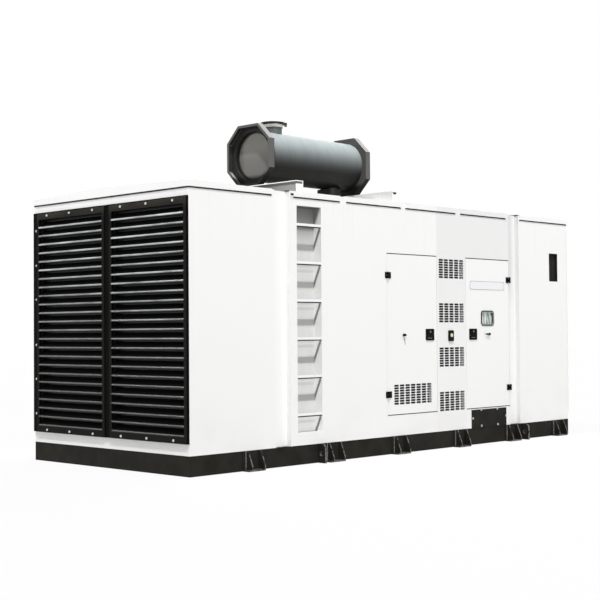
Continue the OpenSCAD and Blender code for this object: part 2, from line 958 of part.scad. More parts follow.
module silencer_bearers() {
  color(paint_white) {
    silencer_bearer(silencer_x0);
    translate([silencer_x0 + silencer_x1 + rear_bearer_out, 0, 0]) mirror([1, 0, 0])
      silencer_bearer(silencer_x0);
  }
}

// Eight-sided outline in Y and Z, smaller by inset all round
module eight_sides(inset) {
  a = end_size / 2 - inset;
  c = end_cut - inset * 0.586;
  polygon([[a, a - c], [a - c, a], [c - a, a], [-a, a - c],
           [-a, c - a], [c - a, -a], [a - c, -a], [a, c - a]]);
}

// Silencer end on the front, open outwards, with a round hole in its back plate
module silencer_end() {
  translate([0, 0, silencer_z]) {
    across(silencer_x0, end_depth) difference() {
      eight_sides(0);
      eight_sides(end_t);
    }
    across(silencer_x0, end_t) difference() {
      eight_sides(0);
      eight_sides(end_lip);
    }
    across(silencer_x0 + end_depth - end_t, end_t) difference() {
      eight_sides(0);
      circle(d = silencer_d - 2 * shell_rim);
    }
  }
}

module silencer_front_end() { color(steel_grey) silencer_end(); }

module silencer_rear_end() {
  color(steel_grey) translate([silencer_x0 + silencer_x1, 0, 0]) mirror([1, 0, 0]) silencer_end();
}

// Shell, closed by a disc that lies back behind each end
module silencer_shell() {
  l = silencer_l - 2 * end_depth;
  color(steel_grey) difference() {
    translate([silencer_x0 + end_depth, 0, silencer_z]) rotate([0, 90, 0])
      cylinder(h = l, d = silencer_d, $fn = 96);
    for (x = [silencer_x0 + end_depth - eps, silencer_x1 - end_depth - shell_pocket])
      translate([x, 0, silencer_z]) rotate([0, 90, 0])
        cylinder(h = shell_pocket + eps, d = silencer_d - 2 * shell_rim, $fn = 96);
    translate([outlet_x, 0, silencer_z + silencer_d / 2 - pipe_sink])
      cylinder(h = pipe_sink + eps, d = pipe_d + 2 * seat_gap);
    translate([inlet_x, 0, silencer_z - silencer_d / 2 - eps])
      cylinder(h = pipe_sink + eps, d = pipe_d + 2 * seat_gap);
  }
}

flange_holes = 8;
flange_pcd = 224;
flange_hole_d = 14;
collar_d = 206;
collar_h = 36;
clamp_l = 40;

module exhaust_outlet() {
  z0 = silencer_z + silencer_d / 2 - pipe_sink;
  color(steel_grey) translate([outlet_x, 0, 0]) difference() {
    union() {
      translate([0, 0, z0]) cylinder(h = flange_top - z0, d = pipe_d);
      translate([0, 0, flange_top - flange_t]) cylinder(h = flange_t, d = flange_d);
      translate([0, 0, flange_top - flange_t - collar_h]) cylinder(h = collar_h, d = collar_d);
      rotate([0, 0, -45]) block(flange_d / 2 - 8, -clamp_l / 4, flange_top - clamp_l,
                                clamp_l * 0.7, clamp_l / 2, clamp_l);
    }
    translate([0, 0, z0 - eps]) cylinder(h = flange_top - z0 + 2 * eps, d = pipe_d - 2 * pipe_wall);
    for (i = [0:flange_holes - 1]) rotate([0, 0, (i + 0.5) * 360 / flange_holes])
      translate([flange_pcd / 2, 0, flange_top - flange_t - eps])
        cylinder(h = flange_t + 2 * eps, d = flange_hole_d);
  }
}

// Collar clamped round the inlet pipe, between the roof and the shell
ring_z = roof_z + 205;
ring_h = 80;
ring_reach = 35;

module exhaust_inlet() {
  z0 = roof_z + curb_top;
  z1 = silencer_z - silencer_d / 2 + pipe_sink;
  color(steel_grey) translate([inlet_x, 0, 0]) difference() {
    union() {
      translate([0, 0, z0]) cylinder(h = z1 - z0, d = pipe_d);
      translate([0, 0, ring_z]) cylinder(h = ring_h, d = pipe_d + 2 * ring_reach);
    }
    translate([0, 0, z0 - eps]) cylinder(h = z1 - z0 + 2 * eps, d = pipe_d - 2 * pipe_wall);
  }
}

skid_rails();
skid_end_beams();
skid_crossmembers();
floor_deck();
mounting_feet();
lifting_lugs();
front_end_wall();
front_louvre_left();
front_louvre_right();
rear_end_wall();
rear_louvre_left();
rear_louvre_right();
mesh_screens();
left_front_panel();
left_joint_channels();
ladder_panel();
ladder_recess();
ladder_rungs();
left_plain_panel();
door_post();
post_grilles();
door_headers();
door_sills();
door_stops();
left_rear_panel();
air_slot();
cable_entry_plate();
hinge_seats();
emergency_stop();
right_wall_panels();
right_joint_channels();
right_fixed_doors();
right_door_hardware();
roof_panels();
roof_joint_strips();
roof_plinth();
silencer_bearers();
silencer_shell();
silencer_front_end();
silencer_rear_end();
exhaust_outlet();
exhaust_inlet();
control_cabinet();
engine_door_leaf();
engine_door_grille();
engine_door_hinges();
engine_door_lock();
control_door_leaf();
control_door_seal();
control_door_glass();
control_door_hinges();
control_door_lock();
control_door_plate();
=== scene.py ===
# %% [markdown]
# # Diesel generator set: a long white canopy on a black skid
#
# The exact shapes come from the imported CAD model. This lesson dresses that model: it gives every
# part the finish of the real thing, and adds the small pieces that a drawing leaves out, such as
# bolts, seals, weld beads and the lining behind the doors. The frame is loaded first. Nothing that
# is added here may stand outside it.

import math

import bmesh
import bpy
from mathutils import Matrix, Vector


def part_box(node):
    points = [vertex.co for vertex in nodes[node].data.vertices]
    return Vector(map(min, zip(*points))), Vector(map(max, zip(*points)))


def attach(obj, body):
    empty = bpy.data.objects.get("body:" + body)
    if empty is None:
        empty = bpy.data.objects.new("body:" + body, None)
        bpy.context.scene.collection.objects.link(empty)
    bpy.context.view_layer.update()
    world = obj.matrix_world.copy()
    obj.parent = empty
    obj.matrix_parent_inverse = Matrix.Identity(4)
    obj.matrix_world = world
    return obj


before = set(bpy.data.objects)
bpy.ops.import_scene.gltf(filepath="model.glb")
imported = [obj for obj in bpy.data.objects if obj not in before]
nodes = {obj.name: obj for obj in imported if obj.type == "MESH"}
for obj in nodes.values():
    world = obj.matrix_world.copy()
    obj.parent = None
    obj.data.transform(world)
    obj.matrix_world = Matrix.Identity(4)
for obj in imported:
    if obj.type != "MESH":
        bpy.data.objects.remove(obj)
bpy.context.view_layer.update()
scene = bpy.context.scene
scene.view_settings.view_transform = "Standard"

# %% [markdown]
# ## Camera
# A person stands at the front corner of the set, eyes a little above a metre, and looks along it
# with a long lens, so the far end is hardly smaller than the near one. The camera's three axes
# are worked out from its heading, its tilt and the slight roll of a hand-held shot.

# %% Place the camera
CAMERA_PLACE = Vector((-9.9444, -9.2811, 1.2313))
HEADING, TILT, ROLL = map(math.radians, (44.236, 1.45, -0.418))
FILM_WIDTH_MM, LENS_MM = 36, 75.25

ahead = Vector((math.cos(TILT) * math.cos(HEADING), math.cos(TILT) * math.sin(HEADING),
                math.sin(TILT)))
level_right = ahead.cross(Vector((0, 0, 1))).normalized()
level_up = level_right.cross(ahead)
right = math.cos(ROLL) * level_right + math.sin(ROLL) * level_up
up = math.cos(ROLL) * level_up - math.sin(ROLL) * level_right

camera_data = bpy.data.cameras.new("long_lens")
camera_data.sensor_width = FILM_WIDTH_MM
camera_data.lens = LENS_MM
camera_data.clip_end = 200
camera = bpy.data.objects.new("camera", camera_data)
scene.collection.objects.link(camera)
camera.matrix_world = Matrix.Translation(CAMERA_PLACE) @ Matrix(
    (right, up, -ahead)).transposed().to_4x4()
scene.camera = camera
print("camera stands", round(CAMERA_PLACE.length, 2), "m from the middle of the set")

# %% [markdown]
# ## Colours and nodes
# Paint shops give colours as sRGB codes, while the shader works in linear light, so one function
# turns one into the other. A second one adds any node, with its own settings, its values and its
# links, which keeps the trees below short enough to read. It hands back the node's first output,
# because that is what the next node nearly always wants. A hex code that is meant for a colour
# socket is turned to linear light on its way in.

# %% Colour and node
def colour(code):
    """Linear colour for an sRGB hex code."""
    parts = [int(code[i:i + 2], 16) / 255 for i in (0, 2, 4)]
    return tuple(c / 12.92 if c <= 0.04045 else ((c + 0.055) / 1.055) ** 2.4
                 for c in parts) + (1.0,)


def put(tree, kind, *values, **settings):
    """Add a node and return its first output. Values and links fill its sockets in order, or by
    name where a dict is given; settings are the node's own options."""
    node = tree.nodes.new(kind)
    for key, value in settings.items():
        setattr(node, key, value)
    if values and isinstance(values[0], dict):
        filled = [(node.inputs[key], value) for key, value in values[0].items()]
    else:
        filled = zip([socket for socket in node.inputs if socket.enabled], values)
    for socket, value in filled:
        if isinstance(value, bpy.types.NodeSocket):
            tree.links.new(value, socket)
        else:
            socket.default_value = colour(value) if socket.type == "RGBA" else value
    return next((socket for socket in node.outputs if socket.enabled), None)


MATH, RANGE, MIX = "ShaderNodeMath", "ShaderNodeMapRange", "ShaderNodeMix"
SOFT, TONES = {"interpolation_type": "SMOOTHSTEP"}, {"data_type": "RGBA"}
print("white in linear light:", colour("FFFFFF"), "and mid grey:", round(colour("808080")[0], 3))

# %% [markdown]
# ## Masks, mottling and the skin
# Most finishes here are one coat over another: dust over paint, a painted highlight over dark
# paint. What lies on top is chosen by a mask, a number from 0 to 1 at each place of the surface.
# Masks are multiplied
# where all of them must hold. Weather is never even, so a cloudy pattern, sized in millimetres,
# breaks most of them up, and it falls from above, so the way a surface faces counts too. At the
# end the colour and a fine relief are joined to the shader.

# %% Masks and mottling
def where_all(tree, *masks):
    """Mask that holds where all of these do. A plain number among them weakens it."""
    product = masks[0]
    for mask in masks[1:]:
        product = put(tree, MATH, product, mask, operation="MULTIPLY")
    return product


def between(tree, value, low, high):
    """Mask of the places where value lies between low and high."""
    return where_all(tree, put(tree, MATH, value, low, operation="GREATER_THAN"),
                     put(tree, MATH, value, high, operation="LESS_THAN"))


def mottled(tree, place, size_mm, detail=3.0, stretch=(1, 1, 1)):
    """Cloudy pattern whose patches are about size_mm across; stretch lengthens them by axis."""
    scaled = put(tree, "ShaderNodeMapping", {"Vector": place, "Scale": [1 / s for s in stretch]})
    return put(tree, "ShaderNodeTexNoise",
               {"Vector": scaled, "Scale": 1000 / size_mm, "Detail": detail})


def facing(tree):
    """The X, Y and Z of the direction that the surface faces."""
    normal = put(tree, "ShaderNodeNewGeometry").node.outputs["Normal"]
    return put(tree, "ShaderNodeSeparateXYZ", normal).node.outputs

# %% Start and end of a finish
def new_finish(name, **surface):
    """A material: returned with its tree, its skin (the shader's sockets) and object place."""
    material = bpy.data.materials.new(name)
    material.use_nodes = True
    tree = material.node_tree
    tree.nodes.clear()
    shader = put(tree, "ShaderNodeBsdfPrincipled",
                 {key.replace("_", " "): value for key, value in surface.items()})
    put(tree, "ShaderNodeOutputMaterial", shader)
    place = put(tree, "ShaderNodeTexCoord").node.outputs["Object"]
    print("finish:", name)
    return material, tree, shader.node.inputs, place


def cover(tree, skin, tone, relief=None, depth_mm=0.0):
    """Join the colour to the skin, and a pattern as relief of about depth_mm."""
    tree.links.new(tone, skin["Base Color"])
    if relief is not None:
        raised = put(tree, "ShaderNodeBump",
                     {"Height": relief, "Strength": 0.5, "Distance": depth_mm / 1000})
        tree.links.new(raised, skin["Normal"])
    print("    covered, with", len(tree.nodes), "nodes")

# %% [markdown]
# ## Canopy: white polyester powder coat on folded steel sheet
# Powder is sprayed on dry and melts in an oven. It flows into a closed skin with a slight orange
# peel, a wave every few millimetres, and a soft gloss. Two things keep a big white wall from
# looking like paper: the sheet is never quite flat, so its gloss wanders over half a metre or so,
# and the weather leaves a faint warm veil near the ground and thin rain marks under the roof.
# The peel is drawn at 12 mm, because the real 3 mm waves are too fine to show.

# %% Canopy powder coat
canopy_coat, tree, skin, place = new_finish("canopy_powder_coat", Roughness=0.42, IOR=1.5)
x, y, z = put(tree, "ShaderNodeSeparateXYZ", place).node.outputs
veil = mottled(tree, place, 600, 4)
rain = put(tree, RANGE, mottled(tree, place, 40, 4, stretch=(1, 1, 30)), 0.55, 0.8, **SOFT)
low_down = put(tree, RANGE, z, 0.75, 0.15, **SOFT)
high_up = put(tree, RANGE, z, 1.5, 2.6, **SOFT)
# The white is painted slightly lighter towards the top, a painted light.
top_lit_white = put(tree, MIX, put(tree, RANGE, z, 0.4, 2.4, **SOFT), "F6F6F5", "FAFAF9", **TONES)
marked = put(tree, MIX, where_all(tree, rain, high_up, 0.22), top_lit_white, "DEDDD8", **TONES)
dusty = where_all(tree, low_down, put(tree, RANGE, veil, 0.35, 0.75, **SOFT), 0.25)
dusted = put(tree, MIX, dusty, marked, "DCD8CF", **TONES)

# %% [markdown]
# The door post and the panel over the rear door are painted a slightly greyer white, most near the
# top, as painted shade. In the joint channel next to them the upper part is painted darker, as
# painted shade behind its edge.

# %% Painted shade round the rear door
POST_X, REAR_DOOR_X, CHANNEL_X, CHANNEL_END = 0.461, 0.9605, 1.766, 1.9665
SIDE_FACE = -1.09
header_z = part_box("door_headers")[0].z
on_side = put(tree, MATH, y, SIDE_FACE, operation="LESS_THAN")
over_door = put(tree, MATH, z, header_z - 0.001, operation="GREATER_THAN")
beside_door = put(tree, MATH, 1.0, between(tree, x, REAR_DOOR_X, CHANNEL_X),
                  operation="SUBTRACT")
# Painted shade on the post and over the rear door, strongest near the top.
door_shade = where_all(tree, on_side, between(tree, x, POST_X, CHANNEL_END),
                  put(tree, MATH, over_door, beside_door, operation="MAXIMUM"),
                  put(tree, RANGE, z, 0.6, 2.0, 0.35, 1.0), 0.45)
dusted = put(tree, MIX, door_shade, dusted, "E2E2E2", **TONES)
# Painted shade in the upper part of the joint channel.
channel_shade = where_all(tree, on_side, between(tree, x, CHANNEL_X, CHANNEL_END),
                      put(tree, RANGE, z, 1.35, 1.95, **SOFT),
                      put(tree, RANGE, x, 1.955, 1.85, **SOFT), 0.8)
dusted = put(tree, MIX, channel_shade, dusted, "DADADA", **TONES)
print("greyer from x =", POST_X, "to", CHANNEL_END, "m, and over the door from z =",
      round(header_z, 3))

# %% Dust on the roof
THINNEST, THICKEST = 0.25, 0.75
streaky = mottled(tree, place, 220, 5, stretch=(1, 3, 1))
settled = where_all(tree, put(tree, RANGE, facing(tree)[2], 0.5, 0.9, **SOFT),
                    put(tree, RANGE, streaky, 0.0, 1.0, THINNEST, THICKEST))
dusted = put(tree, MIX, settled, dusted, "CFCDC6", **TONES)
print("roof dust hides", THINNEST, "to", THICKEST, "of the white")

# %% [markdown]
# Behind the louvres the inner walls of the openings are painted almost black, a painted shade
# between the blades. The bearers under the silencer are open channels, and their insides are
# painted grey, darker away from their near end, a painted shade under the silencer.

# %% Painted shade inside the louvre openings
OPENING_X, OPENING_Y, OPENING_Z = (2.889, 2.96), 1.1125, (0.2815, 2.4055)
in_opening = where_all(
    tree, between(tree, put(tree, MATH, x, operation="ABSOLUTE"), *OPENING_X),
    put(tree, MATH, put(tree, MATH, y, operation="ABSOLUTE"), OPENING_Y, operation="LESS_THAN"),
    between(tree, z, *OPENING_Z))
# Near-black inner walls of the openings: painted shade.
opening_shade = put(tree, MIX, veil, "0B0B0A", "121211", **TONES)
blacked = put(tree, MIX, in_opening, dusted, opening_shade, **TONES)
print("openings blacked out from z =", OPENING_Z[0], "to", OPENING_Z[1], "m")

# %% Painted shade inside the silencer's bearers
BEARER_DEPTH, BEARER_PLATE, ROOF_SURFACE = 0.0885, 0.0075, 2.46
bearer_low, bearer_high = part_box("silencer_bearers")
front_bearer = between(tree, x, bearer_low.x + 0.001, bearer_low.x + BEARER_DEPTH)
rear_bearer = between(tree, x, bearer_high.x - BEARER_DEPTH, bearer_high.x - 0.001)
inside = where_all(tree, put(tree, MATH, front_bearer, rear_bearer, operation="ADD"),
                   between(tree, y, bearer_low.y + 0.004, bearer_high.y - 0.004),
                   between(tree, z, ROOF_SURFACE, bearer_high.z - BEARER_PLATE))
# Grey inside the channels, darker away from their near end: painted shade.
bearer_shade = put(tree, MIX, put(tree, RANGE, y, -0.68, 0.1, **SOFT), "A5A5A4", "5C5C5B", **TONES)
painted = put(tree, MIX, inside, blacked, bearer_shade, **TONES)
print("bearers", round(bearer_high.x - bearer_low.x, 3), "m apart over their outer faces")

# %% Peel and gloss of the powder coat
wander = put(tree, MATH, mottled(tree, place, 450, 1), 6.0, operation="MULTIPLY")
waves = put(tree, MATH, mottled(tree, place, 12, 2), wander, operation="ADD")
cover(tree, skin, painted, waves, 0.25)
tree.links.new(put(tree, RANGE, veil, 0.0, 1.0, 0.36, 0.5), skin["Roughness"])

# %% [markdown]
# ## Climbing recess: white tray with a back painted as shade
# The tray behind the rungs is made apart and let into the panel. Its sides are white, and its
# back is painted grey as painted shade, darkest under the top edge.

# %% Recess coat
RECESS_BACK = -1.0515
recess_coat, tree, skin, place = new_finish("recess_sheet_painted_shade", Roughness=0.5, IOR=1.5)
_, y, z = put(tree, "ShaderNodeSeparateXYZ", place).node.outputs
stains = mottled(tree, place, 90, 4, stretch=(1, 1, 6))
# The back is painted grey, a painted shade inside the recess.
shaded_back = put(tree, MIX, stains, "D2D2D0", "E0E0DE", **TONES)
# Under the top edge the back is painted much darker: painted shade.
top_shade = where_all(tree, put(tree, RANGE, z, 1.95, 2.4, **SOFT), 0.95)
shaded_back = put(tree, MIX, top_shade, shaded_back, "686866", **TONES)
on_back = put(tree, MATH, y, RECESS_BACK, operation="GREATER_THAN")
bare = put(tree, MIX, on_back, "F1F1F0", shaded_back, **TONES)

# %% [markdown]
# Each rung's shadow from the key lamp is painted into the recess: a grey band behind each rung,
# which runs forwards and up along the sides, and a fainter one above it. The top edge's shadow is
# painted on the sides too. So the pattern is set out on the height at which the lamp's light came
# past the rungs, which is the height of the place plus a share of how far it lies behind them.

# %% Painted shadows of the rungs
# The slope is that of the key lamp's light, so the painted bands lie where the rungs' shadows
# fall.
RUNG_PITCH, RUNG_PLANE, SHADOW_SLOPE = 0.354, 1.137, 2.2
SHADOW_LOW, SHADOW_HEIGHT, SHADOW_TOP = 0.414, 0.062, 2.267
recess_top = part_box("ladder_recess")[1].z
behind = put(tree, MATH, y, RUNG_PLANE, operation="ADD")
slant = put(tree, MATH, behind, SHADOW_SLOPE, operation="MULTIPLY")
shadow_z = put(tree, MATH, z, slant, operation="ADD")
above_rung = put(tree, MATH, put(tree, MATH, shadow_z, SHADOW_LOW, operation="SUBTRACT"), RUNG_PITCH,
                 operation="FLOORED_MODULO")
rung_heights = between(tree, shadow_z, SHADOW_LOW - 0.01, SHADOW_TOP + 0.01)
# Painted shadow band behind each rung.
band = where_all(tree, put(tree, RANGE, above_rung, -0.001, 0.012, **SOFT),
                 put(tree, RANGE, above_rung, SHADOW_HEIGHT + 0.008, SHADOW_HEIGHT - 0.004, **SOFT),
                 rung_heights, put(tree, MATH, behind, 0.002, operation="GREATER_THAN"))
# A fainter painted shadow band above each one.
faint = where_all(tree, put(tree, RANGE, above_rung, 0.146, 0.156, **SOFT),
                  put(tree, RANGE, above_rung, 0.184, 0.174, **SOFT), on_back, rung_heights, 0.45)
on_sides = put(tree, MATH, 1.0, on_back, operation="SUBTRACT")
# Painted shadow of the recess's top edge on the sides.
under_top = where_all(tree, on_sides,
                      put(tree, RANGE, shadow_z, recess_top - 0.005, recess_top + 0.02, **SOFT))
painted_shadow = band
for further in (under_top, faint):
    painted_shadow = put(tree, MATH, painted_shadow, further, operation="MAXIMUM")
# Colours of the painted shadows.
shadow_tone = put(tree, MIX, on_back, "868684", "B4B4B2", **TONES)
cover(tree, skin, put(tree, MIX, where_all(tree, painted_shadow, 0.9), bare, shadow_tone, **TONES),
      mottled(tree, place, 12, 2), 0.2)

# %% [markdown]
# ## Skid: black chassis enamel on hot-rolled steel
# The frame is welded from rolled sections and brushed or sprayed with thick black enamel. Rolled
# steel keeps a pebbled skin, the enamel sags a little, and dust settles on whatever faces up.
# Slings and boots rub the outer edges of the feet and lugs down to grey primer.

# %% Skid enamel
FOOT_FACE = 1.16
skid_enamel, tree, skin, place = new_finish(
    "black_chassis_enamel", Roughness=0.7, IOR=1.5, Specular_IOR_Level=0.06)
y = put(tree, "ShaderNodeSeparateXYZ", place).node.outputs[1]
_, sideways, upwards = facing(tree)
patches = mottled(tree, place, 180, 5)
black = put(tree, MIX, put(tree, RANGE, patches, 0.3, 0.7, **SOFT), "22211E", "2A2925", **TONES)
unevenly = put(tree, MATH, upwards, put(tree, MATH, patches, 0.5, operation="MULTIPLY"),
               operation="ADD")
settled = where_all(tree, put(tree, RANGE, unevenly, 0.6, 1.3, **SOFT), 0.5)
dusted = put(tree, MIX, settled, black, "6E675C", **TONES)
outward = put(tree, MATH, sideways, operation="ABSOLUTE")
far_out = put(tree, MATH, put(tree, MATH, y, operation="ABSOLUTE"), FOOT_FACE,
              operation="GREATER_THAN")
worn = where_all(tree, far_out, put(tree, RANGE, outward, 0.3, 0.6, **SOFT),
                 put(tree, RANGE, mottled(tree, place, 40, 4), 0.38, 0.55, **SOFT))
cover(tree, skin, put(tree, MIX, worn, dusted, "767572", **TONES), mottled(tree, place, 14, 4),
      0.6)

# %% [markdown]
# ## Louvres: satin black powder coat
# The blades and frames are folded sheet in a black coat with little shine. The blades and the flat
# base round the raised frame are painted almost black, darker than the coat, as painted shade
# between the blades and beside the frame. The raised frame is greyer, and paler and browner along
# its top. The frame, its bolts and the blades are one node of the model, so the finish tells them
# apart by how far out from the wall they stand. The two louvres of an end are alike and one step
# apart, so their Y is folded onto one of them first. The rear louvres have white frames round the
# same black blades.

# %% Louvre coat
LOUVRE_STEP = 1.150
BLADES_Y, BLADES_Z, BOLT_COLUMN = (0.0385, 1.0475), (0.3415, 2.3355), 1.0785
BASE_FACE, FRAME_FACE, REAR_WALL = 2.9705, 2.9805, 2.9495
louvre_coat, tree, skin, place = new_finish(
    "satin_black_powder_coat", IOR=1.5, Specular_IOR_Level=0.04)
x, y, z = put(tree, "ShaderNodeSeparateXYZ", place).node.outputs
beyond = put(tree, MATH, x, operation="ABSOLUTE")
folded = put(tree, MATH, y, LOUVRE_STEP, operation="FLOORED_MODULO")
in_opening = where_all(tree, between(tree, folded, *BLADES_Y), between(tree, z, *BLADES_Z))
on_frame = put(tree, MATH, 1.0, in_opening, operation="SUBTRACT")
raised = where_all(tree, put(tree, MATH, beyond, BASE_FACE, operation="GREATER_THAN"), on_frame)
side_bolt = where_all(tree, raised,
                      put(tree, MATH, folded, BOLT_COLUMN, operation="GREATER_THAN"))
zinc_head = put(tree, MATH, side_bolt,
                put(tree, MATH, beyond, FRAME_FACE, operation="GREATER_THAN"),
                operation="MAXIMUM")
smears = mottled(tree, place, 90, 4, stretch=(1, 4, 1))
# The top of the raised frame is painted paler and browner.
paler_top = where_all(tree, put(tree, RANGE, z, 2.28, 2.42, **SOFT), smears)
# Almost black for the blades and the flat base: painted shade.
deep = put(tree, MIX, smears, "030303", "070706", **TONES)
frame_tone = put(tree, MIX, paler_top, "1D1C1A", "4E4B43", **TONES)
coated = put(tree, MIX, raised, deep, frame_tone, **TONES)
rear_frame = where_all(tree, put(tree, MATH, x, REAR_WALL, operation="GREATER_THAN"), on_frame)
coated = put(tree, MIX, rear_frame, coated, "EFEFEE", **TONES)
cover(tree, skin, put(tree, MIX, zinc_head, coated, "D5D8DA", **TONES),
      mottled(tree, place, 9, 2), 0.2)
tree.links.new(put(tree, RANGE, zinc_head, 0.0, 1.0, 0.7, 0.35), skin["Roughness"])

# %% [markdown]
# ## Blade hems: the same coat, rubbed smooth
# The front edge of each blade is rolled back on itself. Rain, brushes and gloves polish that
# hem, so it is the one glossy part of the louvre. A pale blue-white highlight is painted onto the
# hems, strongest on the upper ones: a painted highlight along each blade.

# %% Hem coat
hem_coat, tree, skin, place = new_finish("rubbed_black_coat_with_painted_highlight", Roughness=0.27, IOR=1.5)
z = put(tree, "ShaderNodeSeparateXYZ", place).node.outputs[2]
smears = mottled(tree, place, 70, 4, stretch=(1, 5, 1))
# The hems are painted paler the higher they are: a painted highlight.
pale = where_all(tree, put(tree, RANGE, z, 0.7, 2.5, **SOFT),
                 put(tree, RANGE, smears, 0.1, 0.9, **SOFT))
cover(tree, skin, put(tree, MIX, pale, "1C1C1B", "DDE6E4", **TONES), smears, 0.3)

# %% [markdown]
# ## Wire screens, rubber and glass-filled nylon
# Behind the louvres a black wire screen keeps leaves out. It is drawn as a weave of 12 mm cells,
# coarser than the real one, whose wires are too fine to show. Door stops, seals and gaskets are
# EPDM rubber, extruded and quite matt. Hinges and paddle locks are moulded in black nylon filled
# with glass fibre, which leaves a fine grain. The round base under each door's small latch is
# white like the door, and belongs to the same node of the model as the black lock.

# %% Woven screen
SCREEN_CELL = 0.012
screen_wire, tree, skin, place = new_finish("woven_wire_screen", Roughness=0.6, IOR=1.5)
strands = []
for axis in put(tree, "ShaderNodeSeparateXYZ", place).node.outputs[1:]:
    turns = put(tree, MATH, axis, 2 * math.pi / SCREEN_CELL, operation="MULTIPLY")
    wave = put(tree, MATH, turns, operation="SINE")
    height = put(tree, MATH, wave, operation="ABSOLUTE")
    strands.append(put(tree, RANGE, height, 0.75, 0.95, **SOFT))
wire = put(tree, MATH, *strands, operation="MAXIMUM")
cover(tree, skin, put(tree, MIX, wire, "060606", "1B1B1A", **TONES), wire, 1.0)

# %% Extruded rubber
rubber, tree, skin, place = new_finish("epdm_rubber", Roughness=0.8, IOR=1.52)
bloom = put(tree, RANGE, mottled(tree, place, 60, 4), 0.4, 0.8, **SOFT)
cover(tree, skin, put(tree, MIX, bloom, "1C1D1D", "2E2F2E", **TONES), mottled(tree, place, 4, 3),
      0.15)

# %% Moulded nylon with the white latch bases
LATCH_X = {"engine_door": -0.0929, "control_door": 1.3720}
LATCH_Z, LATCH_BASE_Y, LATCH_BASE_RADIUS = 1.191, 1.1605, 0.0225
nylon, tree, skin, place = new_finish(
    "glass_filled_nylon", Roughness=0.5, IOR=1.53, Specular_IOR_Level=0.05)
grain = mottled(tree, place, 3, 4)
x, y, z = put(tree, "ShaderNodeSeparateXYZ", place).node.outputs
from_z = put(tree, MATH, z, LATCH_Z, operation="SUBTRACT")
bases = []
for latch_x in LATCH_X.values():
    from_x = put(tree, MATH, x, latch_x, operation="SUBTRACT")
    squares = [put(tree, MATH, side, side, operation="MULTIPLY") for side in (from_x, from_z)]
    away = put(tree, MATH, *squares, operation="ADD")
    bases.append(put(tree, MATH, away, LATCH_BASE_RADIUS ** 2, operation="LESS_THAN"))
near_leaf = put(tree, MATH, put(tree, MATH, y, operation="ABSOLUTE"), LATCH_BASE_Y,
                operation="LESS_THAN")
latch_base = where_all(tree, put(tree, MATH, *bases, operation="MAXIMUM"), near_leaf)
moulded = put(tree, MIX, grain, "060607", "0F0F10", **TONES)
cover(tree, skin, put(tree, MIX, latch_base, moulded, "DEDEDD", **TONES), grain, 0.15)

# %% [markdown]
# ## Stop switch: ABS in two colours
# The black box and the round button in front of it are one node of the model. A button is
# moulded in one colour right through, so the border between the two is a depth, not a painted
# line.

# %% Switch plastic with its button
BUTTON_Y = -1.1665
switch_abs, tree, skin, place = new_finish(
    "moulded_abs_switch", Roughness=0.35, IOR=1.53, Specular_IOR_Level=0.06)
y = put(tree, "ShaderNodeSeparateXYZ", place).node.outputs[1]
button = put(tree, MATH, y, BUTTON_Y, operation="LESS_THAN")
speckle = mottled(tree, place, 5, 3)
box_tone = put(tree, MIX, speckle, "0C0C0D", "151517", **TONES)
button_tone = put(tree, MIX, speckle, "DDE0AE", "EEF1D2", **TONES)
cover(tree, skin, put(tree, MIX, button, box_tone, button_tone, **TONES), speckle, 0.1)

# %% [markdown]
# ## Silencer: heat-resistant silicone paint
# A silencer runs too hot for powder coat. It is sprayed with a dark grey silicone paint. Wherever
# it faces up a highlight is painted on, pale blue-grey on the spun shell and a warmer grey on the
# folded trays, while the underside is left almost black as painted shade. The slope of the surface
# sets how pale the painted highlight is. Spray passes leave faint rings.

# %% Silencer paint
shell_low, shell_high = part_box("silencer_shell")
stub_low, stub_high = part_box("exhaust_outlet")
silencer_paint, tree, skin, place = new_finish(
    "heat_resistant_silicone_paint", IOR=1.5, Specular_IOR_Level=0.15)
x, y, z = put(tree, "ShaderNodeSeparateXYZ", place).node.outputs
lengthwise, _, upwards = facing(tree)
passes = mottled(tree, place, 45, 3, stretch=(1, 8, 8))
# Painted highlight: the more a surface faces up, the paler it is painted; facing down it stays
# almost black, a painted shade.
facing_up = put(tree, MATH, put(tree, RANGE, upwards, -0.6, 1.0, **SOFT), 1.4,
                  operation="POWER")
uneven = where_all(tree, facing_up, put(tree, RANGE, passes, 0.0, 1.0, 0.8, 1.1))
round_face = put(tree, MATH, put(tree, MATH, lengthwise, operation="ABSOLUTE"), 0.7,
                 operation="LESS_THAN")
on_shell = where_all(tree, between(tree, x, shell_low.x, shell_high.x), round_face)
highlight_tone = put(tree, MIX, on_shell, "C6C7C4", "C9D3D4", **TONES)
dark_base = put(tree, MIX, on_shell, "2B2B2A", "1F1F1E", **TONES)
silencer_tone = put(tree, MIX, uneven, dark_base, highlight_tone, **TONES)

# %% [markdown]
# Inside the end trays the painted highlight is left out. The shell's hollow end is painted dark,
# as painted shade. Its end disc is a paler grey, painted lighter towards the top and fading out
# towards the rim, as painted light and shade, and the tray round it is painted nearly black, as
# painted shade. A tray is eight-sided, so a place is inside it when its distance from the axis,
# measured sideways, upwards and along both diagonals, is never more than the tray's reach.

# %% Shell end and disc
AXIS_Z, SHELL_RADIUS, SHELL_RIM = (shell_low.z + shell_high.z) / 2, shell_high.y, 0.012
above_axis = put(tree, MATH, z, AXIS_Z, operation="SUBTRACT")
squares = [put(tree, MATH, side, side, operation="MULTIPLY") for side in (y, above_axis)]
radius = put(tree, MATH, put(tree, MATH, *squares, operation="ADD"), operation="SQRT")
